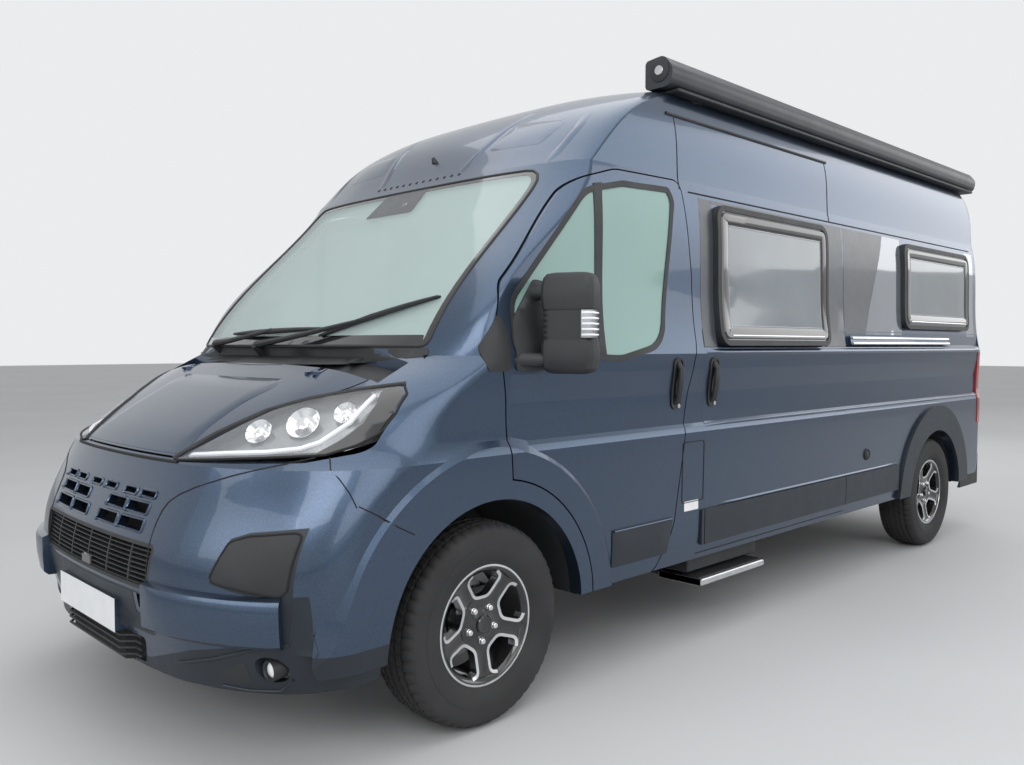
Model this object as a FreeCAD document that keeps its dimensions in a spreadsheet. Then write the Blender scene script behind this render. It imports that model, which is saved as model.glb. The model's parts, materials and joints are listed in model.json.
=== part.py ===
import FreeCAD, Part
import math
import os
import Sketcher
from FreeCAD import Rotation, Vector

# High-roof camper van, right-hand drive, front towards -Y, left side at +X, standing on Z = 0.
# Millimetres. The origin is midway along, midway across and on the floor.

SIZES = [
    ("overall_length", 5998),
    ("front_overhang", 993),
    ("wheelbase", 4035),
    ("body_half_width", 1025),
    ("mirror_half_width", 1254),
    ("roof_height", 2522),
    ("header_height", 2060),
    ("cowl_height", 1300),
    ("lip_height", 955),
    ("skirt_height", 285),
    ("sill_height", 385),
    ("shell_wall", 45),
    ("panel_gap", 6),
    ("rear_step_depth", 53),
    ("lip_setback", 113),
    ("cowl_setback", 725),
    ("header_setback", 1453),
    ("bonnet_half_width", 790),
    ("floor_height", 640),
    ("floor_thickness", 30),
    ("rail_height", 130),
    ("rail_width", 70),
    ("rail_spacing", 840),
    ("half_track", 895),
    ("tyre_radius", 360),
    ("tyre_half_width", 112),
    ("rim_radius", 214),
    ("rim_half_width", 92),
    ("rim_seat_radius", 196),
    ("hub_radius", 84),
    ("disc_radius", 150),
    ("front_arch_radius", 455),
    ("rear_arch_radius", 425),
    ("arch_lip", 65),
    ("flare_radius", 700),
    ("flare_proud", 12),
    ("rear_flare_width", 165),
    ("belt_depth", 14),
    ("wheel_well_width", 330),
    ("kingpin_half_track", 742),
    ("strut_radius", 24),
    ("spindle_radius", 20),
    ("spindle_play", 0.3),
    ("door_front", 85),
    ("door_rear", 1237),
    ("door_bottom", 372),
    ("slider_front", 1290),
    ("slider_rear", 2705),
    ("slider_bottom", 425),
    ("slider_top", 2009),
    ("glass_thickness", 6),
    ("windscreen_thickness", 10),
    ("tail_door_height", 2010),
    ("tail_door_bottom", 560),
    ("tail_door_half_width", 790),
    ("engine_length", 520),
    ("engine_width", 560),
    ("engine_height", 420),
    ("engine_low", 470),
    ("gearbox_radius", 104),
    ("step_width", 552),
    ("step_depth", 230),
    ("step_thickness", 32),
    ("step_travel", 250),
    ("awning_length", 3820),
    ("awning_width", 150),
    ("awning_height", 138),
    ("disc_thickness", 26),
    ("disc_offset", 82),
    ("spring_half_spacing", 420),
    ("tank_height", 250),
    ("vent_height", 62),
    ("bench_height", 1000),
    ("kitchen_height", 1540),
    ("steering_radius", 195),
    ("seat_half_spacing", 470),
    ("tow_radius", 12),
    ("tow_depth", 60),
    ("tow_cover", 48),
    ("plate_seat_half_width", 258),
    ("plate_seat_height", 105),
    ("plate_seat_low", 395),
    ("bonnet_pin_radius", 5),
    ("bonnet_pin_play", 0.2),
    ("seat_width", 500),
    ("window_proud", 28),
    ("window_frame_width", 26),
    ("moulding_proud", 8),
    ("moulding_low", 447),
    ("moulding_high", 605),
]

doc = FreeCAD.newDocument("CamperVan")
sheet = doc.addObject("Spreadsheet::Sheet", "Sizes")
for row, (alias, value) in enumerate(SIZES, start=1):
    sheet.set("A%d" % row, alias)
    sheet.set("B%d" % row, str(value))
    sheet.setAlias("B%d" % row, alias)
doc.recompute()


class Size:
    """Reads a driving dimension from the sheet by its alias."""

    def __getattr__(self, alias):
        return float(getattr(sheet, alias))


S = Size()
BODY_LENGTH = S.overall_length
NOSE_Y = -BODY_LENGTH / 2
FRONT_AXLE_Y = NOSE_Y + S.front_overhang
REAR_AXLE_Y = FRONT_AXLE_Y + S.wheelbase
TAIL_Y = BODY_LENGTH / 2 - S.rear_step_depth
WALL = S.shell_wall
GAP = S.panel_gap
FLOOR_TOP = S.floor_height
FLOOR_LOW = S.floor_height - S.floor_thickness
LEFT, RIGHT = 1, -1

PIECES = []


def keep(obj, label):
    """Registers a document object as a sub-part under its own name."""
    obj.Label = label
    PIECES.append(obj)
    return obj


def feature(label, shape):
    """A sub-part whose shape is worked out from the sheet's sizes."""
    obj = doc.addObject("Part::Feature", label)
    obj.Shape = shape
    obj.Placement = FreeCAD.Placement()
    return keep(obj, label)


def front(offset):
    """Position along the van, measured back from the front axle."""
    return FRONT_AXLE_Y + offset


def rear(offset):
    """Position along the van, measured back from the rear axle."""
    return REAR_AXLE_Y + offset


def mirrored(shape):
    return shape.mirror(Vector(0, 0, 0), Vector(1, 0, 0))


def on_side(shape, side):
    return shape if side == LEFT else mirrored(shape)


def box(x0, x1, y0, y1, z0, z1):
    low = Vector(min(x0, x1), min(y0, y1), min(z0, z1))
    return Part.makeBox(abs(x1 - x0), abs(y1 - y0), abs(z1 - z0), low)


def body_box(y0, y1, z0, z1, x0=-1300, x1=1300):
    return box(x0, x1, y0, y1, z0, z1)


def rod(start, end, radius):
    axis = Vector(*end) - Vector(*start)
    return Part.makeCylinder(radius, axis.Length, Vector(*start), axis)


def fused(shapes):
    result = shapes[0]
    if len(shapes) > 1:
        result = result.multiFuse(list(shapes[1:]))
    return result.removeSplitter()


def bezier(*poles):
    curve = Part.BezierCurve()
    curve.setPoles([Vector(*p) for p in poles])
    return curve.toShape()


def outline(corners):
    """A closed wire in the XY plane through corners (u, v, radius), each rounded by its radius."""
    count = len(corners)
    starts, ends, arcs = [], [], []
    for i, (u, v, radius) in enumerate(corners):
        here = Vector(u, v, 0)
        before = (Vector(*corners[i - 1][:2], 0) - here).normalize()
        after = (Vector(*corners[(i + 1) % count][:2], 0) - here).normalize()
        if radius <= 0:
            starts.append(here)
            ends.append(here)
            arcs.append(None)
            continue
        half = before.getAngle(after) / 2
        reach = radius / math.tan(half)
        middle = here + (before + after).normalize() * (radius / math.sin(half) - radius)
        starts.append(here + before * reach)
        ends.append(here + after * reach)
        arcs.append(Part.Arc(starts[-1], middle, ends[-1]).toShape())
    edges = []
    for i in range(count):
        side = Vector(*corners[(i + 1) % count][:2], 0) - Vector(*corners[i][:2], 0)
        if (starts[(i + 1) % count] - ends[i]).dot(side) < -1e-3:
            raise ValueError("corner radii meet near %s" % (corners[i],))
        if arcs[i] is not None:
            edges.append(arcs[i])
        if (starts[(i + 1) % count] - ends[i]).Length > 1e-6:
            edges.append(Part.LineSegment(ends[i], starts[(i + 1) % count]).toShape())
    return Part.Wire(edges)


def side_prism(corners, x_low, x_high, shrink=0.0):
    """An outline drawn on the side elevation (y, z), run across the van from x_low to x_high."""
    wire = outline(corners)
    if shrink:
        wire = wire.makeOffset2D(-shrink)
    face = Part.Face(wire)
    face.rotate(Vector(0, 0, 0), Vector(1, 1, 1), 120)
    face.translate(Vector(x_low, 0, 0))
    return face.extrude(Vector(x_high - x_low, 0, 0))


def front_prism(corners, y_low, y_high, shrink=0.0):
    """An outline drawn on the front elevation (x, z), run along the van from y_low to y_high."""
    wire = outline(corners)
    if shrink:
        wire = wire.makeOffset2D(-shrink)
    face = Part.Face(wire)
    face.rotate(Vector(0, 0, 0), Vector(1, 0, 0), 90)
    face.translate(Vector(0, y_low, 0))
    return face.extrude(Vector(0, y_high - y_low, 0))


# The body's lines plan: a plan section at each height, lofted between the creases

def plan_section(height, half_width, nose, depth, tail, corner):
    """Bowed nose, rounded front corners of the given depth, straight sides, rounded tail corners."""
    bow = 0.6 * half_width
    bow_y = nose + 0.12 * depth
    slope = 0.75 * depth / half_width
    reach = 0.355 * bow
    pull = 0.448 * corner
    shoulder = 0.8 * half_width
    shoulder_y = bow_y + slope * (shoulder - bow)
    side_y = nose + depth
    fall_y = nose + 0.55 * depth
    z, w = height, half_width
    edges = [
        bezier((w, side_y, z), (w, fall_y, z), (shoulder, shoulder_y, z), (bow, bow_y, z)),
        bezier((bow, bow_y, z), (bow - reach, bow_y - slope * reach, z),
               (reach - bow, bow_y - slope * reach, z), (-bow, bow_y, z)),
        bezier((-bow, bow_y, z), (-shoulder, shoulder_y, z), (-w, fall_y, z), (-w, side_y, z)),
        Part.LineSegment(Vector(-w, side_y, z), Vector(-w, tail - corner, z)).toShape(),
        bezier((-w, tail - corner, z), (-w, tail - pull, z), (pull - w, tail, z), (corner - w, tail, z)),
        Part.LineSegment(Vector(corner - w, tail, z), Vector(w - corner, tail, z)).toShape(),
        bezier((w - corner, tail, z), (w - pull, tail, z), (w, tail - pull, z), (w, tail - corner, z)),
        Part.LineSegment(Vector(w, tail - corner, z), Vector(w, side_y, z)).toShape(),
    ]
    return Part.Wire(edges)


def between(low, high, share):
    return low + (high - low) * share


def body_levels(inset):
    """Four runs of levels: front face, bonnet, windscreen, high roof."""
    w = S.body_half_width - inset
    tail = TAIL_Y - inset
    nose = NOSE_Y + inset
    lip = NOSE_Y + S.lip_setback + inset
    cowl = NOSE_Y + S.cowl_setback + inset * 1.6
    header = NOSE_Y + S.header_setback + inset * 1.5
    low, lip_z, cowl_z, top = S.skirt_height, S.lip_height, S.cowl_height, S.roof_height
    header_z = S.header_height
    if inset:
        low = S.skirt_height - 100
        top = S.roof_height - inset
        lip_z = S.lip_height - inset * 0.3
        cowl_z = S.cowl_height - inset * 0.5
        header_z = S.header_height - inset * 0.4
    corner = 100 - inset * 0.6
    at_lip = (lip_z, w, lip, 520, tail, corner)
    at_cowl = (cowl_z, w - 1, cowl, 320, tail, corner)
    at_header = (header_z, w - 68, header, 130, tail - 22, corner)
    face = [
        (low, w - 53, nose + 59, 430, tail - 2, corner),
        (between(low, lip_z, 0.24), w - 10, nose + 25, 430, tail, corner),
        (between(low, lip_z, 0.47), w - 3, nose, 430, tail, corner),
        (between(low, lip_z, 0.74), w - 1, nose + 40, 440, tail, corner),
        at_lip,
    ]
    bonnet = [
        at_lip,
        (between(lip_z, cowl_z, 0.2), w - 12, between(lip, cowl, 0.137), 560, tail, corner),
        (between(lip_z, cowl_z, 0.48), w - 10, between(lip, cowl, 0.395), 460, tail, corner),
        (between(lip_z, cowl_z, 0.74), w - 6, between(lip, cowl, 0.685), 370, tail, corner),
        at_cowl,
    ]
    screen = [
        at_cowl,
        (between(cowl_z, header_z, 0.13), w - 20, between(cowl, header, 0.129), 200, tail - 2, corner),
        (between(cowl_z, header_z, 0.53), w - 37, between(cowl, header, 0.523), 150, tail - 7, corner),
        at_header,
    ]
    crown = [
        at_header,
        (between(header_z, top, 0.23), w - 73, header + 97, 140, tail - 27, corner),
        (between(header_z, top, 0.52), w - 87, header + 230, 170, tail - 37, corner),
        (between(header_z, top, 0.74), w - 120, header + 385, 220, tail - 62, corner),
        (between(header_z, top, 0.87), w - 160, header + 540, 260, tail - 102, corner),
        (between(header_z, top, 0.955), w - 245, header + 745, 250, tail - 182, corner),
        (top, w - 425, header + 1040, 200, tail - 352, corner),
    ]
    return [face, bonnet, screen, crown]


def envelope(inset):
    """The body's outside moved in by inset; the unseen inner skins are ruled, the outer ones smooth."""
    ruled = inset >= 40
    runs = [Part.makeLoft([plan_section(*level) for level in run], True, ruled) for run in body_levels(inset)]
    return runs[0].multiFuse(runs[1:])


X_OUT = S.body_half_width + 60
X_IN = S.body_half_width - 250
ARCH_Z = S.tyre_radius - 10
ARCHES = {FRONT_AXLE_Y: S.front_arch_radius, REAR_AXLE_Y: S.rear_arch_radius}


def wheel_cut(y, radius, x_low, x_high):
    return Part.makeCylinder(radius, x_high - x_low, Vector(x_low, y, ARCH_Z), Vector(1, 0, 0))


def belt_recess():
    """The two long hollows pressed into the side, above the belt crease and between the creases."""
    w, depth = S.body_half_width, S.belt_depth
    upper = front_prism([(w + 60, 1316, 0), (w + 4, 1316, 0), (w - 6 - depth, 1340, 0), (w - 24, 1480, 0),
                         (w + 60, 1480, 0)], front(S.slider_front), TAIL_Y - 95)
    lower = front_prism([(w + 60, 962, 0), (w + 2, 966, 0), (w - 4 - depth, 994, 0), (w - 4 - depth, 1130, 0),
                         (w + 2, 1290, 0), (w + 60, 1290, 0)], front(S.door_front), TAIL_Y - 95)
    return [upper, lower]


def front_flare():
    """The fender's bulge round the wheel: a low cone that stands proud of the side."""
    cone = Part.makeCone(S.flare_radius, S.flare_radius - 130, 90,
                         Vector(S.body_half_width - 40, FRONT_AXLE_Y, ARCH_Z), Vector(1, 0, 0))
    return cone.common(envelope(-S.flare_proud)).cut(body_box(NOSE_Y, 0, 0, S.skirt_height + 60))


outer_body = envelope(0)
inner_body = envelope(WALL)
belts = belt_recess()
flare = front_flare()
outer_skin = outer_body.cut(belts + [mirrored(tool) for tool in belts]).multiFuse([flare, mirrored(flare)])
shell = outer_skin.cut(inner_body)


# Outlines on the side elevation, the left side; each (position, height, corner radius)

DOOR_LINE = [
    (front(S.door_front), 700, 0),
    (front(470), S.door_bottom, 0),
    (front(S.door_rear - 300), S.door_bottom, 90),
    (front(S.door_rear - 170), 560, 200),
    (front(S.door_rear - 75), 1050, 400),
    (front(S.door_rear), 1350, 150),
    (front(S.door_rear - 5), 1640, 400),
    (front(S.door_rear - 65), S.header_height - 5, 60),
    (front(720), S.header_height - 15, 250),
    (front(480), 1975, 300),
    (front(60), 1550, 150),
    (front(20), 1400, 120),
    (front(S.door_front - 25), 1150, 600),
]
DOOR_GLASS_LINE = [
    (front(95), 1300, 60),
    (front(700), 1272, 500),
    (front(1000), 1330, 170),
    (front(1108), 1960, 100),
    (front(1075), 2012, 30),
    (front(760), 2000, 300),
    (front(520), 1945, 220),
    (front(100), 1500, 120),
]
SLIDER_LINE = [
    (front(S.slider_front), S.slider_bottom, 40),
    (front(S.slider_rear), S.slider_bottom, 60),
    (front(S.slider_rear), S.slider_top, 60),
    (front(S.slider_front), S.slider_top, 60),
]


def window_line(start, end, low, high, radius=70):
    return [(start, low, radius), (end, low, radius), (end, high, radius), (start, high, radius)]


FRONT_WINDOW = window_line(front(1400), front(2480), 1335, 1975)
REAR_WINDOW = window_line(rear(-530), rear(600), 1440, 1970)

# Shell regions taken out for each opening part

wheel_holes = [on_side(wheel_cut(y, radius, X_IN, X_OUT), side)
               for y, radius in ARCHES.items() for side in (LEFT, RIGHT)]
DOOR_ARCH = S.front_arch_radius + S.arch_lip

door_zone = side_prism(DOOR_LINE, X_IN, X_OUT)
door_zone = door_zone.cut(wheel_cut(FRONT_AXLE_Y, DOOR_ARCH, X_IN, X_OUT))
slider_zone = side_prism(SLIDER_LINE, X_IN, X_OUT)

tail_zone = front_prism([
    (-S.tail_door_half_width, S.tail_door_bottom, 20), (S.tail_door_half_width, S.tail_door_bottom, 20),
    (S.tail_door_half_width, S.tail_door_height, 60), (-S.tail_door_half_width, S.tail_door_height, 60),
], TAIL_Y - 160, TAIL_Y + 60)

BW = S.bonnet_half_width
COWL_Y = NOSE_Y + S.cowl_setback
HEADER_Y = NOSE_Y + S.header_setback
SHUT_Z = S.lip_height + 12
BONNET_LINE = [
    (-BW, S.cowl_height + 60, 0), (-BW, 1207, 90), (-575, 1110, 120), (-445, SHUT_Z, 40), (445, SHUT_Z, 40),
    (575, 1110, 120), (BW, 1207, 90), (BW, S.cowl_height + 60, 0),
]
BONNET_REAR = COWL_Y - 70
bonnet_zone = front_prism(BONNET_LINE, NOSE_Y - 50, BONNET_REAR)
screen_zone = front_prism([
    (-835, S.cowl_height + 30, 30), (835, S.cowl_height + 30, 30), (800, S.header_height - 25, 90),
    (-800, S.header_height - 25, 90),
], NOSE_Y, HEADER_Y + 200)
lamp_zone = front_prism([
    (400, 958, 10), (860, 975, 40), (960, 1005, 30), (950, 1120, 60), (890, 1215, 15), (600, 1145, 150),
], NOSE_Y, front(-250))
lamp_zones = [lamp_zone, mirrored(lamp_zone)]
bumper_zone = side_prism([
    (NOSE_Y - 80, 150, 0), (front(-300), 150, 0), (front(-307), 694, 0), (front(-537), 844, 0),
    (front(-662), S.lip_height + 52, 0), (NOSE_Y - 80, S.lip_height + 52, 0),
], -1200, 1200)


def solids_of(shape, smallest=2000):
    """The solids of a cut, without crumbs."""
    return [solid for solid in shape.Solids if solid.Volume > smallest]


def tidy(shape):
    found = solids_of(shape)
    return found[0] if len(found) == 1 else Part.makeCompound(found)


proud_body = envelope(-S.window_proud)
lined_body = envelope(WALL + 0.3)
clear_body = envelope(WALL + 14)

# Roof and the shell below it

roof_zone = body_box(NOSE_Y, TAIL_Y + 200, S.header_height + 17, S.roof_height + 100)
brow_zone = body_box(NOSE_Y, HEADER_Y + 330, S.header_height, S.roof_height + 100)
cap_zone = roof_zone.fuse(brow_zone)
roof_shape = shell.common(cap_zone)
rest = shell.cut(cap_zone)
rest = rest.cut(body_box(front(-400), TAIL_Y + 200, 0, S.sill_height))
rest = rest.cut(wheel_holes)

door_shape = rest.common(side_prism(DOOR_LINE, X_IN, X_OUT, GAP)).cut(
    wheel_cut(FRONT_AXLE_Y, DOOR_ARCH + GAP, X_IN, X_OUT))
slider_shape = rest.common(side_prism(SLIDER_LINE, X_IN, X_OUT, 0.3))
tail_shape = rest.common(tail_zone)
rest = rest.cut([door_zone, mirrored(door_zone), slider_zone, tail_zone])

bonnet_shape = rest.common(front_prism(BONNET_LINE, NOSE_Y - 50, BONNET_REAR - GAP, GAP))
rest = rest.cut(bonnet_zone)
screen_frame = rest.common(screen_zone)
rest = rest.cut(screen_zone)
lamp_shape = rest.common(lamp_zones[0])
rest = rest.cut(lamp_zones)
bumper_shape = rest.common(bumper_zone)
rest = rest.cut(bumper_zone)
SCUTTLE_ZONE = body_box(BONNET_REAR, COWL_Y + 60, S.cowl_height - 130, S.cowl_height + 29, -820, 820)
scuttle = rest.common(SCUTTLE_ZONE).common(envelope(36).cut(inner_body))
rest = rest.cut(SCUTTLE_ZONE)
TAIL_LAMP_LINE = [(838, 780, 15), (1100, 780, 15), (1100, 1290, 15), (838, 1290, 15)]
tail_lamp_zone = front_prism(TAIL_LAMP_LINE, TAIL_Y - 130, TAIL_Y + 60)
rest = rest.cut([tail_lamp_zone, mirrored(tail_lamp_zone)])

B_PILLAR_Y = front(S.door_rear + 27)
wing_zone = body_box(NOSE_Y, front(S.door_front + 120), 300, S.cowl_height - 12, 500, 1300)
wing_zone = wing_zone.fuse(wheel_cut(FRONT_AXLE_Y, DOOR_ARCH + 20, X_IN, 1300))
wing_shape = rest.common(wing_zone)
rest = rest.cut([wing_zone, mirrored(wing_zone)])
wall_zone = body_box(B_PILLAR_Y, TAIL_Y + 200, 300, S.header_height + 40, 0, 1300)
left_wall = rest.common(wall_zone)
right_wall = rest.common(mirrored(wall_zone))
rest = rest.cut([wall_zone, mirrored(wall_zone)])

# Windows of the living space: a proud frame and a pane in each opening

WINDOW_LINES = [FRONT_WINDOW, REAR_WINDOW]
pane_band = envelope(-S.window_proud + 5).cut(envelope(12))
frame_band = proud_body.cut(inner_body)


def window_unit(line, side):
    whole = side_prism(line, X_IN, X_OUT)
    light = side_prism(line, X_IN, X_OUT, S.window_frame_width)
    frame = frame_band.common(whole).cut(light)
    pane = pane_band.common(light)
    return on_side(frame, side), on_side(pane, side)


window_holes = {LEFT: [], RIGHT: []}
frames, panes = [], []
for side in (LEFT, RIGHT):
    for line in WINDOW_LINES:
        window_holes[side].append(on_side(side_prism(line, X_IN, X_OUT), side))
        frame, pane = window_unit(line, side)
        frames.append(frame)
        panes.append(pane)
slider_shape = slider_shape.cut(window_holes[LEFT][0])
left_wall = left_wall.cut(window_holes[LEFT][1])
right_wall = right_wall.cut(window_holes[RIGHT])

# Body panels

feature("roof", tidy(roof_shape))
feature("side_wall_left", tidy(left_wall))
feature("side_wall_right", tidy(right_wall))
feature("wing_left", tidy(wing_shape))
feature("wing_right", tidy(mirrored(wing_shape)))
feature("sliding_door", tidy(slider_shape))
feature("window_frames", tidy(Part.makeCompound(frames)))
feature("window_panes", tidy(Part.makeCompound(panes)))
feature("headlamps", tidy(Part.makeCompound([lamp_shape, mirrored(lamp_shape)])))
feature("windscreen", tidy(screen_frame.common(outer_body.cut(envelope(S.windscreen_thickness)))))

# Cab frame: pillars, header and sills with the bulkhead behind the engine

BULKHEAD_Y = front(-150)
bulkhead = lined_body.common(body_box(BULKHEAD_Y - 20, BULKHEAD_Y, FLOOR_LOW, S.cowl_height - 60))
bulkhead_arch = wheel_cut(FRONT_AXLE_Y, S.front_arch_radius + 35, 530, X_OUT)
bulkhead = bulkhead.cut([bulkhead_arch, mirrored(bulkhead_arch)])
feature("cab_frame", tidy(rest))

# Bonnet on two pins in ears of the sunken scuttle

PIN_Y = BONNET_REAR - GAP / 2
PIN_Z = 1235
PIN_X = 500
EAR_HALF = 14
lugs, ears, ear_bores, notches = [], [], [], []
for side in (LEFT, RIGHT):
    x = side * PIN_X
    lugs.append(rod((x - 30, PIN_Y, PIN_Z), (x + 30, PIN_Y, PIN_Z), S.bonnet_pin_radius))
    for x0 in (x - 30, x + EAR_HALF + 1):
        lugs.append(box(x0, x0 + 15, PIN_Y - 60, PIN_Y, PIN_Z - S.bonnet_pin_radius, PIN_Z + S.bonnet_pin_radius))
    ears.append(rod((x - EAR_HALF, PIN_Y, PIN_Z), (x + EAR_HALF, PIN_Y, PIN_Z), S.bonnet_pin_radius + 4))
    ears.append(box(x - EAR_HALF, x + EAR_HALF, PIN_Y, PIN_Y + 50, PIN_Z - 30, PIN_Z - 4))
    ear_bores.append(rod((x - 40, PIN_Y, PIN_Z), (x + 40, PIN_Y, PIN_Z),
                         S.bonnet_pin_radius + S.bonnet_pin_play))
    notches.append(box(x - EAR_HALF - 1, x + EAR_HALF + 1, PIN_Y - 22, PIN_Y + 20, PIN_Z - 80, PIN_Z + 60))

# Bonnet

feature("bonnet", tidy(bonnet_shape.cut(notches).multiFuse(lugs)))

# Nose: grille panels in the bumper's face

GRILLE_LINE = [(-470, 565, 15), (470, 565, 15), (495, 712, 20), (-495, 712, 20)]
NOSE_LINE = [(-495, 722, 15), (495, 722, 15), (420, 925, 40), (-420, 925, 40)]
INTAKE_LINE = [(-340, 296, 12), (340, 296, 12), (372, 388, 12), (-372, 388, 12)]
FACE_Y0, FACE_Y1 = NOSE_Y - 100, NOSE_Y + 200
nose_band = outer_body.cut(envelope(20))


def bars(line, band, count, low, high, thickness):
    """Thin level bars inside an opening, tied by a rim and uprights."""
    whole = front_prism(line, FACE_Y0, FACE_Y1)
    rim = band.common(whole).cut(front_prism(line, FACE_Y0, FACE_Y1, 12))
    pitch = (high - low) / (count + 1)
    levels = [body_box(FACE_Y0, FACE_Y1, low + pitch * (i + 1) - thickness / 2,
                       low + pitch * (i + 1) + thickness / 2) for i in range(count)]
    posts = [box(x - 5, x + 5, FACE_Y0, FACE_Y1, low, high) for x in (-330, -165, 0, 165, 330)]
    lattice = levels[0].multiFuse(levels[1:] + posts)
    inner = envelope(6).cut(envelope(20)).common(whole).common(lattice)
    return rim.multiFuse(inner.Solids)


RAIL_X = S.rail_spacing / 2
TOW_Z = 525
tow_opening = box(RAIL_X - S.tow_cover / 2, RAIL_X + S.tow_cover / 2, NOSE_Y - 50, NOSE_Y + 150,
                  TOW_Z - S.tow_cover / 2, TOW_Z + S.tow_cover / 2)
plate_seat = body_box(NOSE_Y + 2, NOSE_Y + 80, S.plate_seat_low, S.plate_seat_low + S.plate_seat_height,
                      -S.plate_seat_half_width, S.plate_seat_half_width).cut(inner_body)
bumper_cut = bumper_shape.fuse(plate_seat).cut(
    [front_prism(line, FACE_Y0, FACE_Y1) for line in (GRILLE_LINE, NOSE_LINE, INTAKE_LINE)]
    + [tow_opening])
LOWER_LINE = [(374, 322), (620, 400), (908, 460), (912, 587), (800, 612), (737, 628), (778, 761), (830, 781),
              (959, 797), (952, 460), (965, 420), (1100, 405), (1100, 200)]
lower_zone = front_prism([(x, z, 0) for x, z in LOWER_LINE] + [(-x, z, 0) for x, z in reversed(LOWER_LINE)],
                         NOSE_Y - 80, front(-290))
FOG = (866, 368, 42)
fog_holes = [rod((side * FOG[0], NOSE_Y, FOG[1]), (side * FOG[0], front(-260), FOG[1]), FOG[2])
             for side in (LEFT, RIGHT)]
feature("front_bumper", tidy(bumper_cut.cut(lower_zone)))
feature("bumper_lower", tidy(bumper_cut.common(lower_zone).cut(fog_holes)))
feature("lower_grille", tidy(bars(GRILLE_LINE, nose_band, 9, 565, 712, 4)))

SLOT_ROWS = ((840, 862, ((22, 112), (180, 270), (300, 398))), (790, 825, ((90, 230), (243, 388))),
             (737, 775, ((50, 208), (224, 392))))
slots = [on_side(box(x0, x1, FACE_Y0, FACE_Y1, z0, z1), side)
         for z0, z1, row in SLOT_ROWS for x0, x1 in row for side in (LEFT, RIGHT)]
nose_panel = nose_band.common(front_prism(NOSE_LINE, FACE_Y0, FACE_Y1)).cut(slots)
feature("nose_panel", tidy(nose_panel))

# Floor and ladder frame

RAIL_TOP = FLOOR_LOW
RAIL_LOW = FLOOR_LOW - S.rail_height
WELL_IN = {FRONT_AXLE_Y: 545, REAR_AXLE_Y: S.body_half_width - S.wheel_well_width}
plate = lined_body.common(body_box(BULKHEAD_Y, TAIL_Y - WALL - GAP, FLOOR_LOW, FLOOR_TOP))
wells, houses = [], []
for y, x_in in WELL_IN.items():
    radius = ARCHES[y] + 10
    hollow = wheel_cut(y, radius, x_in, 1300)
    skin = wheel_cut(y, radius + 12, x_in - 12, 1300).cut(hollow)
    skin = skin.common(lined_body).common(body_box(y - 700, y + 700, FLOOR_LOW, 1000))
    for side in (LEFT, RIGHT):
        wells.append(on_side(hollow, side))
        houses.append(on_side(skin, side))
rails = [box(side * (RAIL_X - S.rail_width / 2), side * (RAIL_X + S.rail_width / 2),
             NOSE_Y + 190, TAIL_Y - 60, RAIL_LOW, RAIL_TOP) for side in (LEFT, RIGHT)]
cross = [box(-RAIL_X, RAIL_X, y - 30, y + 30, RAIL_LOW + 20, RAIL_TOP)
         for y in (NOSE_Y + 220, front(420), front(1500), front(2600), rear(-620), rear(640), TAIL_Y - 120)]
sills = []
for side in (LEFT, RIGHT):
    for y0, y1 in ((front(520), rear(-520)), (rear(520), TAIL_Y - 160)):
        sills.append(on_side(box(RAIL_X, 965, y0, y0 + 50, RAIL_LOW + 40, RAIL_TOP), side))
        sills.append(on_side(box(RAIL_X, 965, y1 - 50, y1, RAIL_LOW + 40, RAIL_TOP), side))
towers = []
for side in (LEFT, RIGHT):
    x = side * S.kingpin_half_track
    tube = rod((x, FRONT_AXLE_Y, ARCH_Z + S.front_arch_radius - 20), (x, FRONT_AXLE_Y, 930), 75)
    tube = tube.cut(rod((x, FRONT_AXLE_Y, 0), (x, FRONT_AXLE_Y, 915), 63))
    towers.append(tube)
tower_holes = [rod((side * S.kingpin_half_track, FRONT_AXLE_Y, 500),
                   (side * S.kingpin_half_track, FRONT_AXLE_Y, 900), 63) for side in (LEFT, RIGHT)]
bay_sides = [on_side(box(RAIL_X - 6, RAIL_X + 6, NOSE_Y + 260, BULKHEAD_Y - 20, RAIL_TOP, 760), side)
             for side in (LEFT, RIGHT)]
STEP_Y0 = front(1277)
STEP_Y1 = STEP_Y0 + S.step_width
STEP_X = 1020
STEP_Z = 255
BAR_Z = STEP_Z + S.step_thickness / 2
BAR_YS = (STEP_Y0 + 60, STEP_Y1 - 60)
guides, guide_bores = [], []
for y in BAR_YS:
    x0, x1 = STEP_X - S.step_depth - 330, STEP_X - S.step_depth - 10
    guides.append(rod((x0, y, BAR_Z), (x1, y, BAR_Z), 20))
    guides.append(box(x0, x0 + 60, y - 12, y + 12, BAR_Z, FLOOR_LOW))
    guides.append(box(x1 - 60, x1, y - 12, y + 12, BAR_Z, FLOOR_LOW))
    guide_bores.append(rod((x0 - 5, y, BAR_Z), (x1 + 5, y, BAR_Z), 10.4))
floor_shape = plate.multiFuse(houses + [bulkhead]).cut(wells + tower_holes)
floor_shape = floor_shape.multiFuse(rails + cross + sills + towers + bay_sides + guides).cut(guide_bores)
door_swing = side_prism(DOOR_LINE, X_IN, X_OUT, -GAP).cut(envelope(WALL + GAP))
tow_socket = rod((RAIL_X, NOSE_Y + 180, TOW_Z), (RAIL_X, NOSE_Y + 190 + S.tow_depth, TOW_Z), S.tow_radius)
floor_shape = floor_shape.cut([door_swing, mirrored(door_swing), tow_socket])
feature("floor_frame", tidy(floor_shape))

GEARBOX_Z = RAIL_LOW - 85
feature("engine", fused([
    box(-S.engine_width / 2, S.engine_width / 2, BULKHEAD_Y - 45 - S.engine_length, BULKHEAD_Y - 45,
        S.engine_low, S.engine_low + S.engine_height),
    rod((0, BULKHEAD_Y - 60, GEARBOX_Z), (0, front(700), GEARBOX_Z), S.gearbox_radius),
    box(-RAIL_X + S.rail_width / 2, RAIL_X - S.rail_width / 2, front(-470), front(-410), 500, 540),
]))


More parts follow.
